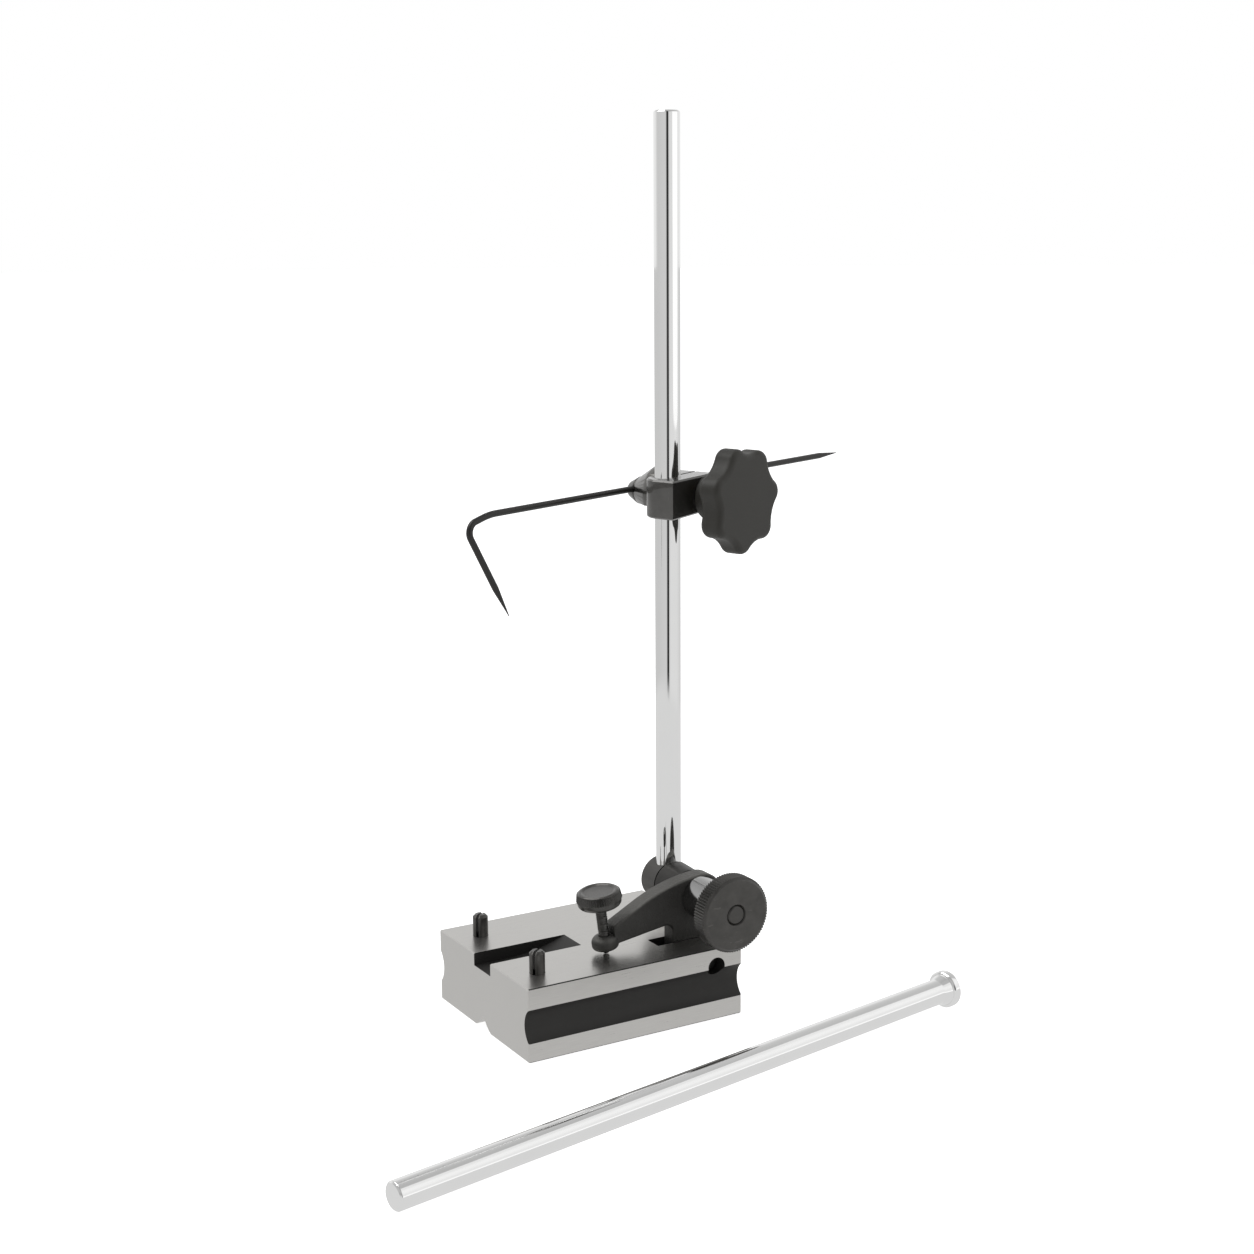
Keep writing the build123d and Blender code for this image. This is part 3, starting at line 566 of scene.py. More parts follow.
def cad_copy(node, name):
    """A copy of a node's mesh with its seams closed and its flat faces made whole."""
    seam, flat = 0.5e-6, radians(0.5)
    bm = bmesh.new()
    bm.from_mesh(NODES[node].data)
    bmesh.ops.remove_doubles(bm, verts=bm.verts, dist=seam)
    bmesh.ops.dissolve_limit(bm, angle_limit=flat, verts=bm.verts, edges=bm.edges)
    return piece_from(bm, name)


def soften_edges(piece, width, segments=2, angle=radians(35)):
    """Rounds a piece's sharp edges by a small width."""
    bevel = piece.modifiers.new("edges", "BEVEL")
    bevel.limit_method = "ANGLE"
    bevel.angle_limit = angle
    bevel.width = width
    bevel.segments = segments
    bevel.use_clamp_overlap = True
    bevel.miter_outer = "MITER_ARC"


def make_plain(piece, at=None):
    """Turns a piece and its modifiers into a plain, smoothly shaded mesh, moved to its place."""
    bpy.context.view_layer.update()
    graph = bpy.context.evaluated_depsgraph_get()
    mesh = bpy.data.meshes.new_from_object(piece.evaluated_get(graph), depsgraph=graph)
    piece.modifiers.clear()
    old, piece.data = piece.data, mesh
    bpy.data.meshes.remove(old)
    mesh.name = piece.name
    if at:
        mesh.transform(at)
    mesh.shade_smooth()
    mesh.set_sharp_from_angle(angle=SOFT_EDGE)
    weigh = piece.modifiers.new("face normals", "WEIGHTED_NORMAL")
    weigh.keep_sharp = True
    weigh.weight = 100
    return piece


def settle(piece, finish, *nodes):
    """Gives a finished piece its material where it has none, and puts it in the place of its nodes."""
    materials = piece.data.materials
    if finish and materials:
        for index in range(len(materials)):
            materials[index] = materials[index] or finish
    elif finish:
        materials.append(finish)
    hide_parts(*nodes)
    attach(piece, BODY_OF[nodes[0]])


# ---------------------------------------------------------------- repeats by nodes
FLOAT, WHOLE = "NodeSocketFloat", "NodeSocketInt"


class NodeTool:
    """A Geometry Nodes tree under construction, with named inputs."""

    def __init__(self, name, inputs):
        self.tree = bpy.data.node_groups.new(name, "GeometryNodeTree")
        face = self.tree.interface
        self.ids = {}
        sockets = {"Geometry": "NodeSocketGeometry", **inputs, "Material": "NodeSocketMaterial"}
        for label, kind in sockets.items():
            self.ids[label] = face.new_socket(label, in_out="INPUT", socket_type=kind).identifier
        face.new_socket("Geometry", in_out="OUTPUT", socket_type="NodeSocketGeometry")
        self.given = self.tree.nodes.new("NodeGroupInput")

    def put(self, kind, settings=None, values=None, out=0):
        """Adds a node, sets it up, feeds its sockets from values, labels or outputs."""
        made = self.tree.nodes.new(kind)
        for name, value in (settings or {}).items():
            setattr(made, name, value)
        for key, value in (values or {}).items():
            if isinstance(value, str):
                value = self.given.outputs[value]
            if isinstance(value, bpy.types.NodeSocket):
                self.tree.links.new(value, made.inputs[key])
            else:
                made.inputs[key].default_value = value
        return made.outputs[out]

    def maths(self, operation, first, second):
        """A Math node on two values."""
        return self.put("ShaderNodeMath", {"operation": operation}, {0: first, 1: second})

    def end(self, geometry):
        """Joins what was made to the given piece, and ends the tree."""
        join = self.tree.nodes.new("GeometryNodeJoinGeometry")
        for socket in (geometry, self.given.outputs["Geometry"]):
            self.tree.links.new(socket, join.inputs[0])
        real = self.put("GeometryNodeRealizeInstances", None, {0: join.outputs[0]})
        dressed = self.put("GeometryNodeSetMaterial", None, {"Geometry": real, "Material": "Material"})
        last = self.tree.nodes.new("NodeGroupOutput")
        self.tree.links.new(dressed, last.inputs[0])

    def use_on(self, piece, **values):
        """Puts the tree on a piece with its inputs set by label."""
        modifier = piece.modifiers.new(self.tree.name, "NODES")
        modifier.node_group = self.tree
        for label, value in values.items():
            modifier[self.ids[label]] = value


def knurl_tool():
    """Ridges round Z: each a four-sided bar with one corner outwards."""
    tool = NodeTool("knurl", {
        "Ridges": WHOLE, "Radius": FLOAT, "Depth": FLOAT, "Width": FLOAT, "Length": FLOAT,
        "Height": FLOAT, "Lean": FLOAT,
    })
    bar = tool.put("GeometryNodeMeshCylinder", {"fill_type": "NGON"}, {
        "Vertices": 4, "Side Segments": 1, "Fill Segments": 1, "Radius": 1.0, "Depth": "Length",
    })
    size = tool.put("ShaderNodeCombineXYZ", None, {0: "Depth", 1: "Width", 2: 1.0})
    bar = tool.put("GeometryNodeTransform", None, {"Geometry": bar, "Scale": size})
    root = tool.maths("SUBTRACT", "Radius", "Depth")
    ring = tool.put("GeometryNodeMeshCircle", {"fill_type": "NONE"}, {"Vertices": "Ridges", "Radius": root})
    lift = tool.put("ShaderNodeCombineXYZ", None, {2: "Height"})
    ring = tool.put("GeometryNodeTransform", None, {"Geometry": ring, "Translation": lift})
    step = tool.maths("DIVIDE", 2 * pi, "Ridges")
    angle = tool.maths("MULTIPLY", tool.put("GeometryNodeInputIndex"), step)
    turn = tool.put("ShaderNodeCombineXYZ", None, {1: "Lean", 2: angle})
    bars = tool.put("GeometryNodeInstanceOnPoints", None, {"Points": ring, "Instance": bar, "Rotation": turn})
    tool.end(bars)
    return tool


def coil_tool():
    """A wire wound round Z, for a spring or a thread."""
    tool = NodeTool("coil", {
        "Turns": FLOAT, "Radius": FLOAT, "Height": FLOAT, "Start": FLOAT, "Wire": FLOAT,
        "Sides": WHOLE, "Steps": WHOLE,
    })
    line = tool.put("GeometryNodeCurveSpiral", None, {
        "Resolution": "Steps", "Rotations": "Turns", "Start Radius": "Radius", "End Radius": "Radius",
        "Height": "Height",
    })
    lift = tool.put("ShaderNodeCombineXYZ", None, {2: "Start"})
    line = tool.put("GeometryNodeTransform", None, {"Geometry": line, "Translation": lift})
    section = tool.put("GeometryNodeCurvePrimitiveCircle", None, {"Resolution": "Sides", "Radius": "Wire"})
    coil = tool.put("GeometryNodeCurveToMesh", None, {
        "Curve": line, "Profile Curve": section, "Fill Caps": True,
    })
    tool.end(coil)
    return tool


# ---------------------------------------------------------------- pieces
def dress(node, name, edge, finish, segments=2):
    """Replaces a node by a copy with its sharp edges rounded, in a finish."""
    piece = cad_copy(node, name)
    soften_edges(piece, edge, segments)
    settle(make_plain(piece), finish, node)


class GaugeOperator:
    """What the operators share."""

    bl_options = {"REGISTER", "UNDO"}


class GAUGE_OT_base(GaugeOperator, bpy.types.Operator):
    """Dress the ground base, with black grooves and slots"""

    bl_idname = "gauge.base"
    bl_label = "Base block"

    def execute(self, context):
        block = cad_copy("base_block", "base_block_ground")
        soften_edges(block, 0.12 * MM, angle=radians(60))
        make_plain(block)
        block.data.materials.append(ground_steel())
        block.data.materials.append(black_groove())
        low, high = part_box("base_block")
        for face in block.data.polygons:
            if self.is_black(face, low, high):
                face.material_index = 1
        settle(block, None, "base_block")
        return {"FINISHED"}

    def is_black(self, face, low, high):
        """Whether a face is inside a groove or slot, and isn't on a ground end."""
        surface, end_margin = 0.02 * MM, 0.4 * MM
        groove_depth, slot_depth, sole_zone = 2.6 * MM, 0.35 * MM, 6 * MM
        at, out = face.center, face.normal
        side_gap = min(at.x - low.x, high.x - at.x)
        end_gap = min(at.y - low.y, high.y - at.y)
        in_groove = surface < side_gap < groove_depth and abs(out.x) > 0.3
        in_slot = min(side_gap, end_gap, high.z - at.z) > slot_depth and at.z > sole_zone
        on_end = end_gap < end_margin and abs(out.y) > 0.5
        return (in_groove or in_slot) and not on_end


class GAUGE_OT_gauge_pins(GaugeOperator, bpy.types.Operator):
    """Dress the two slit gauge pins"""

    bl_idname = "gauge.gauge_pins"
    bl_label = "Gauge pins"

    def execute(self, context):
        for node in ("gauge_pin_left", "gauge_pin_right"):
            low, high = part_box(node)
            middle = place((low + high) / 2, (0, 0, 1))
            steel = black_steel(f"{node}_steel", middle, 0.8, roughness=0.24)
            dress(node, f"{node}_black", 0.08 * MM, steel)
        return {"FINISHED"}


class GAUGE_OT_rocker(GaugeOperator, bpy.types.Operator):
    """Dress the cast rocker, its pivot pin and the heel spring"""

    bl_idname = "gauge.rocker"
    bl_label = "Rocker"

    def execute(self, context):
        rocker = make_plain(cad_copy("rocker_bracket", "rocker_casting"))
        settle(rocker, cast_black(), "rocker_bracket")
        pivot = place(JOINTS["rocker_tilt"]["pos_m"], JOINTS["rocker_tilt"]["axis"])
        low, high, radius = reach("rocker_pivot_pin", pivot)
        edge = 0.3 * MM
        pin = turned("pivot_pin_steel", [
            (0, low, 0), (radius, low, edge), (radius, high, edge), (0, high, 0),
        ])
        settle(make_plain(pin, pivot), black_steel("pivot_steel", pivot), "rocker_pivot_pin")
        self.spring(context.scene)
        return {"FINISHED"}

    def spring(self, scene):
        """Winds the heel spring, and works out how far the rocker's heel can come down."""
        low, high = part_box("rocker_spring")
        size = high - low
        wire, sides, steps_a_turn = 0.3 * MM, 10, 28
        turns = scene.gauge_knurls.spring_turns
        at = Matrix.Translation(((low.x + high.x) / 2, (low.y + high.y) / 2, low.z))
        coil = skin("heel_spring", [])
        steel = plain_metal("spring_steel", scene.gauge_finishes.spring, 0.25)
        coil_tool().use_on(
            coil, Turns=turns, Radius=size.x / 2 - wire, Height=size.z - 2 * wire, Start=wire,
            Wire=wire, Sides=sides, Steps=int(turns * steps_a_turn), Material=steel,
        )
        settle(make_plain(coil, at), None, "rocker_spring")
        joint = JOINTS["rocker_tilt"]
        drop = (high.y - joint["pos_m"][1]) * sin(radians(max(map(abs, joint["range_deg"]))))
        1 - drop / size.z
        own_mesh(coil)


class GAUGE_OT_adjusting_screw(GaugeOperator, bpy.types.Operator):
    """Make the knurled adjusting screw and its thrust pin"""

    bl_idname = "gauge.adjusting_screw"
    bl_label = "Adjusting screw"

    def execute(self, context):
        knurls = context.scene.gauge_knurls
        low, high, radius = reach("adjusting_screw", SCREW)
        # rim 0.55: painted shade on the screw's knurled sides, darker than its ends.
        steel = black_steel("screw_steel", SCREW, 1.1, roughness=0.30, rim=0.55, oil=0.45)
        bore, bore_depth = 1.05 * MM, 3.1 * MM
        shank = 1.75 * MM
        core = shank - knurls.thread_depth
        under, waist, top = high - 5.0 * MM, 2.2 * MM, 6.65 * MM
        flank = radius - knurls.head_depth * 0.8
        upper = top - knurls.head_depth * 0.8
        bevel, crest, dish_edge = 0.5 * MM, 1.1 * MM, 1.8 * MM    # inwards from the head's rim
        rim, dish, soft = 0.3 * MM, 0.4 * MM, 0.25 * MM
        head = turned("adjusting_screw_black", [
            (0, low + bore_depth, 0),
            (bore, low + bore_depth, 0),
            (bore, low, 0),
            (core, low, 0.3 * MM),
            (core, under, 0.5 * MM),
            (flank, under, 1.4 * MM),
            (flank, under + waist, 0.6 * MM),
            (upper, high - rim, soft),
            (upper - bevel, high, soft),
            (upper - crest, high, soft),
            (upper - dish_edge, high - dish, 0.8 * MM),
            (0, high - dish, 0),
        ])
        ridge_width, ridge_length, ridge_drop = 0.30 * MM, 2.3 * MM, 0.25 * MM
        knurl_tool().use_on(
            head, Ridges=knurls.head_ridges, Radius=(flank + upper) / 2 + knurls.head_depth,
            Depth=knurls.head_depth, Width=ridge_width, Length=ridge_length,
            Height=(under + waist + high) / 2 - ridge_drop,
            Lean=-atan2(radius - top, high - under - waist), Material=steel,
        )
        start, plain_end, steps_a_turn = 0.5 * MM, 1.2 * MM, 32
        run = under - low - plain_end
        coil_tool().use_on(
            head, Turns=run / knurls.pitch, Radius=shank - knurls.thread_depth * 1.05, Height=run,
            Start=low + start, Wire=knurls.thread_depth, Sides=4,
            Steps=int(run / knurls.pitch * steps_a_turn), Material=steel,
        )
        settle(make_plain(head, SCREW), steel, "adjusting_screw")
        foot, end, thin = reach("screw_thrust_pin", SCREW)
        pin = turned("thrust_pin_steel", [
            (0, foot, 0), (thin, foot, 0.5 * MM), (thin, end, 0.1 * MM), (0, end, 0),
        ])
        settle(make_plain(pin, SCREW), black_steel("thrust_steel", SCREW, 0.9), "screw_thrust_pin")
        return {"FINISHED"}


class GAUGE_OT_swivel(GaugeOperator, bpy.types.Operator):
    """Make the swivel: bored head, notched sleeve and plated spacer"""

    bl_idname = "gauge.swivel"
    bl_label = "Swivel"

    def execute(self, context):
        # rim 1.6: painted light on the head's sides, which come out lighter than its ends.
        head_steel = black_steel("swivel_steel", SWIVEL, 0.6, roughness=0.30, rim=1.6)
        dress("swivel_bolt", "swivel_head", 0.10 * MM, head_steel)
        sleeve_steel = black_steel("sleeve_steel", SWIVEL, 0.5, roughness=0.34, oil=0.1)
        dress("swivel_sleeve", "swivel_sleeve_black", 0.10 * MM, sleeve_steel)
        low, high, radius = reach("spacer_sleeve", SWIVEL)
        bore, edge = 3.1 * MM, 0.3 * MM
        spacer = turned("spacer_plated", [
            (bore, low, 0), (radius, low, edge), (radius, high, edge), (bore, high, 0),
        ], closed=True)
        # The spacer's plating is set darker than the spindles': painted shade.
        settle(make_plain(spacer, SWIVEL), plated("spacer_chrome", 0.12, 0.45), "spacer_sleeve")
        return {"FINISHED"}


class GAUGE_OT_nut(GaugeOperator, bpy.types.Operator):
    """Make the straight knurled clamp nut"""

    bl_idname = "gauge.nut"
    bl_label = "Clamp nut"

    def execute(self, context):
        knurls = context.scene.gauge_knurls
        low, high, radius = reach("clamp_nut", SWIVEL)
        rim = radius - knurls.nut_depth
        edge, ridge_width = 0.75 * MM, 0.42 * MM
        bore, mouth, mouth_depth = 3.05 * MM, 3.45 * MM, 0.5 * MM
        # rim 0.7: painted shade on the nut's knurled side, darker than its faces.
        steel = black_steel("nut_steel", SWIVEL, 0.98, roughness=0.36, marks=0.014, rim=0.7)
        nut = turned("clamp_nut_black", [
            (bore, low, 0.2 * MM),
            (rim - edge, low, 0.3 * MM),
            (rim, low + edge, 0.2 * MM),
            (rim, high - edge, 0.2 * MM),
            (rim - edge, high, 0.3 * MM),
            (mouth, high, 0.15 * MM),
            (bore, high - mouth_depth, 0.1 * MM),
        ], closed=True)
        knurl_tool().use_on(
            nut, Ridges=knurls.nut_ridges, Radius=radius, Depth=knurls.nut_depth, Width=ridge_width,
            Length=high - low - 2 * edge, Height=(low + high) / 2, Lean=0.0, Material=steel,
        )
        settle(make_plain(nut, SWIVEL), steel, "clamp_nut")
        return {"FINISHED"}


class GAUGE_OT_spindles(GaugeOperator, bpy.types.Operator):
    """Make the plated upright spindle and the flanged spare"""

    bl_idname = "gauge.spindles"
    bl_label = "Spindles"

    def execute(self, context):
        chamfer, side_round = 0.5 * MM, 0.3 * MM
        low, high, radius = reach("spindle", UPRIGHT)
        end_round = 0.1 * MM
        rod = turned("spindle_plated", [
            (0, low, 0),
            (radius - chamfer, low, end_round),
            (radius, low + chamfer, side_round),
            (radius, high - chamfer, side_round),
            (radius - chamfer, high, end_round),
            (0, high, 0),
        ])
        settle(make_plain(rod, UPRIGHT), plated("spindle_chrome"), "spindle")
        low, high, flange = reach("spare_spindle", SPARE)
        radius = MOUNTS["spare_spindle_rod"]["dims"]["r_mm"] * MM
        seat, neck, neck_length = high - 3.0 * MM, 4.9 * MM, 2.8 * MM
        flange_edge, rim_round, face_round = 0.5 * MM, 0.4 * MM, 0.3 * MM
        spare = turned("spare_spindle_plated", [
            (0, low, 0),
            (radius - chamfer, low, 0.15 * MM),
            (radius, low + chamfer, side_round),
            (radius, seat - neck_length, 2.0 * MM),
            (neck, seat, 0.1 * MM),
            (flange - flange_edge, seat, face_round),
            (flange, seat + flange_edge, rim_round),
            (flange, high - flange_edge, rim_round),
            (flange - flange_edge, high, face_round),
            (0, high, 0),
        ])
        settle(make_plain(spare, SPARE), plated("spare_chrome", 0.07), "spare_spindle")
        return {"FINISHED"}


class GAUGE_OT_clamp(GaugeOperator, bpy.types.Operator):
    """Dress the scriber clamp: split block, bolt, cone and washer"""

    bl_idname = "gauge.clamp"
    bl_label = "Scriber clamp"

    def execute(self, context):
        pieces = {    # node: name, edge in mm, brightness, roughness, oil
            "scriber_clamp_body": ("clamp_block", 0.22, 1.05, 0.36, 1.0),
            "scriber_bolt": ("clamp_bolt", 0.10, 0.85, 0.20, 0.4),
            "scriber_sleeve": ("clamp_cone", 0.15, 1.1, 0.20, 0.6),
            "knob_washer": ("clamp_washer", 0.15, 0.90, 0.30, 0.25),
        }
        for node, (name, edge, brightness, roughness, oil) in pieces.items():
            steel = black_steel(f"{name}_steel", BOLT, brightness, roughness, oil=oil)
            dress(node, f"{name}_black", edge * MM, steel, segments=3)
        return {"FINISHED"}


class GAUGE_OT_knob(GaugeOperator, bpy.types.Operator):
    """Mould the star knob round its brass bush"""

    bl_idname = "gauge.knob"
    bl_label = "Star knob"

    def execute(self, context):
        shape = context.scene.gauge_knob
        low, high, tip = reach("knob", BOLT)
        start, end, bush_radius = reach("knob_insert", BOLT)
        outline = self.star(shape, tip)
        back, edge, steps = high - shape.thickness, shape.edge, 6
        turns = [pi / 2 * step / steps for step in range(steps + 1)]
        rings = [[Vector((0, 0, high))]]
        for turn in reversed(turns):
            rings.append(self.level(outline, edge * (1 - cos(turn)), high - edge + edge * sin(turn)))
        for turn in turns:
            rings.append(self.level(outline, edge * (1 - cos(turn)), back + edge - edge * sin(turn)))
        flare, flare_round, foot_round = 1.5 * MM, 0.8 * MM, 0.5 * MM
        stem = rounded([
            (shape.stem + flare, back, 0), (shape.stem, back, flare_round), (shape.stem, low, foot_round),
            (shape.bore, low, 0),
        ])
        for radius, height in [*stem, (shape.bore, end)]:
            rings.append([Vector((*(point.normalized() * radius), height)) for point, _ in outline])
        rings.append([Vector((0, 0, end))])
        settle(make_plain(skin("star_knob", rings), BOLT), knob_plastic(), "knob")
        bore, edge = 3.05 * MM, 0.2 * MM
        bush = turned("knob_bush", [
            (bore, start, edge), (bush_radius, start, edge), (bush_radius, end, 0), (bore, end, 0),
        ], closed=True)
        brass = plain_metal("bush_brass", context.scene.gauge_finishes.bush, 0.25)
        settle(make_plain(bush, BOLT), brass, "knob_insert")
        return {"FINISHED"}

    def star(self, shape, tip):
        """Points round the star with the way out at each: arcs of the lobes and of the hollows."""
        half = pi / shape.lobes
        lobe_at = tip - shape.lobe_round
        forward = lobe_at * cos(half)
        hollow = (lobe_at**2 + shape.waist**2 - 2 * forward * shape.waist - shape.lobe_round**2) / (
            2 * (shape.lobe_round + forward - shape.waist)
        )
        lobe = Vector((lobe_at, 0))
        dent = (shape.waist + hollow) * Vector((cos(half), sin(half)))
        meet = (dent - lobe).normalized()
        swing = atan2(meet.y, meet.x)
        across = swing - half
        points, steps = [], 10
        for index in range(shape.lobes):
            turn = Matrix.Rotation(shape.first_lobe + 2 * half * index, 2)
            for step in range(-steps, steps):
                angle = swing * step / steps
                out = Vector((cos(angle), sin(angle)))
                points.append((turn @ (lobe + out * shape.lobe_round), turn @ out))
            for step in range(-steps, steps):
                angle = half + pi - across * step / steps
                inward = Vector((cos(angle), sin(angle)))
                points.append((turn @ (dent + inward * hollow), turn @ -inward))
        return points

    def level(self, outline, inset, height):
        """The star's ring, drawn in, at a height."""
        return [Vector((*(point - out * inset), height)) for point, out in outline]


class GAUGE_OT_scriber(GaugeOperator, bpy.types.Operator):
    """Draw the bent scriber with its two points"""

    bl_idname = "gauge.scriber"
    bl_label = "Scriber"

    def execute(self, context):
        shape = context.scene.gauge_scriber
        route = self.route(shape)
        radii = [shape.point] + [shape.wire] * (len(route) - 2) + [shape.point]
        along, side = Vector(JOINTS["scriber_slide"]["axis"]), Vector(BOLT.to_3x3().col[2])
        nose, sides = 0.02 * MM, 24
        rings = [[route[0] + along * nose]]
        for i, (point, radius) in enumerate(zip(route, radii)):
            ahead = (route[min(i + 1, len(route) - 1)] - route[max(i - 1, 0)]).normalized()
            other = ahead.cross(side).normalized()
            angles = [2 * pi * k / sides for k in range(sides)]
            rings.append([point + (side * cos(angle) + other * sin(angle)) * radius for angle in angles])
        rings.append([route[-1]])
        settle(make_plain(skin("scriber_wire", rings)), scriber_steel(), "scriber")
        return {"FINISHED"}

    def route(self, shape):
        """The wire's middle line, from its rear point to the point of its leg."""
        along = Vector(JOINTS["scriber_slide"]["axis"])
        upward = Vector(BOLT.to_3x3().col[2]).cross(along)
        points = [v.co for v in NODES["scriber"].data.vertices]
        rear = max(p.dot(along) for p in points)
        rearmost = [p for p in points if p.dot(along) > rear - 1e-6]
        tip = sum(rearmost, Vector()) / len(rearmost)
        bolt = Vector(JOINTS["knob_turn"]["pos_m"])
        dip = tip - along * ((tip - bolt).dot(along) + shape.front)
        corner = dip - along * shape.dip_length - upward * shape.dip
        leg = corner + along * shape.leg_back - upward * shape.leg_down
        return [
            tip, tip - along * shape.taper,
            *self.bend(tip, dip, corner, shape.dip_bend, steps=8),
            *self.bend(dip, corner, leg, shape.corner_bend, steps=14),
            leg - (leg - corner).normalized() * shape.taper, leg,
        ]

    def bend(self, before, corner, after, radius, steps):
        """Points along an arc that rounds a corner of the route."""
        back, on = (before - corner).normalized(), (after - corner).normalized()
        half = back.angle(on) / 2
        start = corner + back * radius / tan(half)
        centre = corner + (back + on).normalized() * radius / sin(half)
        axis = (start - centre).cross(corner + on * radius / tan(half) - centre).normalized()
        sweep = pi - 2 * half
        return [
            centre + Matrix.Rotation(sweep * step / steps, 3, axis) @ (start - centre)
            for step in range(steps + 1)
        ]


class GAUGE_OT_stage(GaugeOperator, bpy.types.Operator):
    """Set the pale floor, the soft lamps and the camera"""

    bl_idname = "gauge.stage"
    bl_label = "Stage"

    def execute(self, context):
        scene = context.scene
        stage = scene.gauge_stage
        self.floor(stage)
        self.world(scene, stage)
        self.lamp("key", at=(-0.35, -0.55, 1.3), size=1.1, power=stage.key)
        self.lamp("side", at=(0.9, 0.9, 0.7), size=1.5, power=stage.fill)
        self.camera(scene, stage)
        scene.view_settings.view_transform = "Standard"
        return {"FINISHED"}

    def floor(self, stage):
        """A pale floor that melts into the backdrop but keeps the shadow."""
        floor = skin("floor", [ring_at(radius, 0.0, 64) for radius in (0.0, 0.5, 1.5, 4.0, 12.0)])
        if floor.data.polygons[0].normal.z < 0:
            floor.data.flip_normals()
        make = finish_named("floor_pale")
        camera, shiny = self.rays(make)
        point = make.parts(make.here())
        away = (point[0] ** 2 + point[1] ** 2) ** 0.5
        edge, edge_width = 0.42, 0.06    # where the floor's image gives way to the studio's, in metres
        tone = 1 - away.over(edge, edge_width) * (1 - self.studio(make, point, stage))
        paper = make.node("ShaderNodeBsdfDiffuse", None, {"Color": (0.9, 0.9, 0.9, 1)})
        glow = self.white(make, "Emission", 0.72)
        lit = make.node("ShaderNodeAddShader", None, {0: paper, 1: glow})
        mirrored = self.white(make, "Emission", tone * stage.reflected)
        plain = make.node("ShaderNodeMixShader", None, {0: shiny, 1: paper, 2: mirrored})
        make.output(make.node("ShaderNodeMixShader", None, {0: camera, 1: plain, 2: lit}))
        floor.data.materials.append(make.owner)

    def white(self, make, kind, strength):
        """A white glow of a strength."""
        return make.node(f"ShaderNode{kind}", None, {"Color": (1, 1, 1, 1), "Strength": strength})

    def rays(self, make):
        """1 for rays from the camera, and 1 for reflected or refracted ones."""
        make.node("ShaderNodeLightPath")
        seen = make.tree.nodes[-1].outputs
        shiny = Wire(make, seen["Is Glossy Ray"]) + Wire(make, seen["Is Transmission Ray"])
        return Wire(make, seen["Is Camera Ray"]).over(0.5, 0.2), shiny.over(0.5, 0.2)

    def ahead(self, way, stage):
        """How far a direction or place is towards the photographed side."""
        return way[0] * sin(stage.azimuth) - way[1] * cos(stage.azimuth)

    def sector(self, bearing, start, end):
        """1 between two bearings, each with the width of its soft step, in degrees."""
        return bearing.over(*map(radians, start)) * (1 - bearing.over(*map(radians, end)))

    def studio(self, make, way, stage):
        """How bright the studio is to each side: a dark gap at the front, and lighter to its right."""
        aside = way[1] * sin(stage.azimuth) + way[0] * cos(stage.azimuth)
        bearing = make.node("ShaderNodeMath", {"operation": "ARCTAN2"}, {0: aside, 1: self.ahead(way, stage)})
        gap = self.sector(bearing, (-6, 12), (13, 4))
        right = self.sector(bearing, (20, 20), (110, 60))
        left = self.sector(bearing, (-150, 30), (-60, 80))
        return (0.90 + right * 0.16 - left * 0.05) * (1 - gap * 0.96)

    def world(self, scene, stage):
        """White behind the gauge, and even light on it."""
        make = Finish(bpy.data.worlds.new("studio"))
        scene.world = make.owner
        camera, shiny = self.rays(make)
        way = make.parts(make.node("ShaderNodeTexCoord"))
        height, ahead = way[2], self.ahead(way, stage)
        low = self.studio(make, way, stage) * stage.reflected
        wall = 1 - height.over(0.12, 0.10) * 0.32    # the wall is darker than the floor
        band = height.over(0.36, 0.3) * 0.10         # and lighter again higher up
        ceiling = height.over(0.68, 0.2) * 0.12
        front = low * wall + band - ceiling
        rear = 0.92 - height.over(0.5, 0.5) * 0.32
        behind = 1 - ahead.over(-0.25, 0.7)
        mirrored = self.white(make, "Background", front * (1 - behind) + behind * rear)
        even = self.white(make, "Background", stage.sky)
        light = make.node("ShaderNodeMixShader", None, {0: shiny, 1: even, 2: mirrored})
        backdrop = self.white(make, "Background", 1.0)
        make.output(make.node("ShaderNodeMixShader", None, {0: camera, 1: light, 2: backdrop}))

    def lamp(self, name, at, size, power):
        """A large square lamp that looks at the gauge."""
        light = bpy.data.lights.new(name, "AREA")
        light.size = size
        light.energy = power
        lamp = bpy.data.objects.new(name, light)
        lamp.location = at
        target = Vector((0, 0, 0.08))
        lamp.rotation_euler = (target - Vector(at)).to_track_quat("-Z", "Y").to_euler()
        bpy.context.scene.collection.objects.link(lamp)

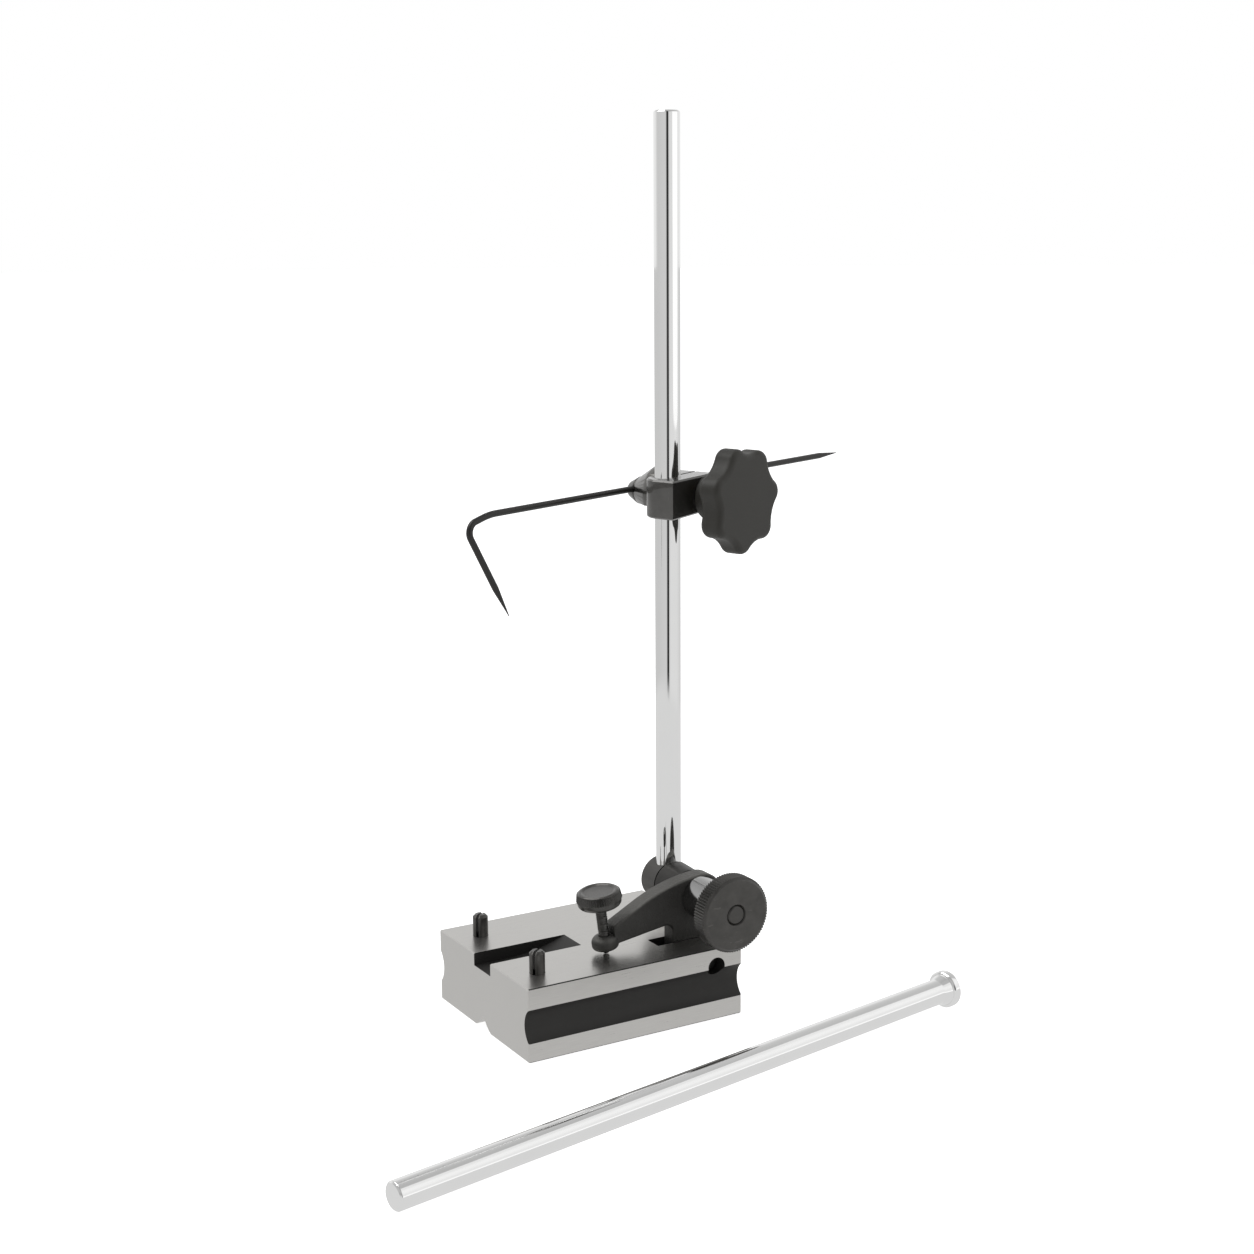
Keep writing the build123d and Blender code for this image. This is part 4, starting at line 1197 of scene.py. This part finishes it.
    def camera(self, scene, stage):
        """The camera, from its place, bearing and slope."""
        azimuth, elevation = stage.azimuth, stage.elevation
        right = Vector((cos(azimuth), sin(azimuth), 0))
        back = Vector((sin(azimuth) * cos(elevation), -cos(azimuth) * cos(elevation), sin(elevation)))
        turn = Matrix((right, back.cross(right), back)).transposed() @ Matrix.Rotation(stage.roll, 3, "Z")
        data = bpy.data.cameras.new("camera")
        data.lens = stage.lens
        data.sensor_width = 36.0
        camera = bpy.data.objects.new("camera", data)
        camera.matrix_world = Matrix.Translation(stage.camera_at) @ turn.to_4x4()
        scene.collection.objects.link(camera)
        scene.camera = camera


PIECES = (
    GAUGE_OT_base,
    GAUGE_OT_gauge_pins,
    GAUGE_OT_rocker,
    GAUGE_OT_adjusting_screw,
    GAUGE_OT_swivel,
    GAUGE_OT_nut,
    GAUGE_OT_spindles,
    GAUGE_OT_clamp,
    GAUGE_OT_knob,
    GAUGE_OT_scriber,
    GAUGE_OT_stage,
)


class GAUGE_PT_panel(bpy.types.Panel):
    """Sidebar panel with one button for each piece"""

    bl_idname = "GAUGE_PT_panel"
    bl_label = "Surface gauge"
    bl_space_type = "VIEW_3D"
    bl_region_type = "UI"
    bl_category = "Gauge"

    def draw(self, context):
        for group in GROUPS:
            box = self.layout.box()
            settings = getattr(context.scene, group)
            for name in settings.__annotations__:
                box.prop(settings, name)
        for piece in PIECES:
            self.layout.operator(piece.bl_idname)


def register():
    """Registers the settings, the operators and the panel."""
    for name, group in GROUPS.items():
        bpy.utils.register_class(group)
        setattr(bpy.types.Scene, name, PointerProperty(type=group))
    for piece in (*PIECES, GAUGE_PT_panel):
        bpy.utils.register_class(piece)


def unregister():
    """Takes them away again."""
    for piece in reversed((*PIECES, GAUGE_PT_panel)):
        bpy.utils.unregister_class(piece)
    for name, group in GROUPS.items():
        delattr(bpy.types.Scene, name)
        bpy.utils.unregister_class(group)


def main():
    """Makes every piece."""
    register()
    for piece in PIECES:
        family, name = piece.bl_idname.split(".")
        getattr(getattr(bpy.ops, family), name)()


if __name__ == "__main__":
    main()
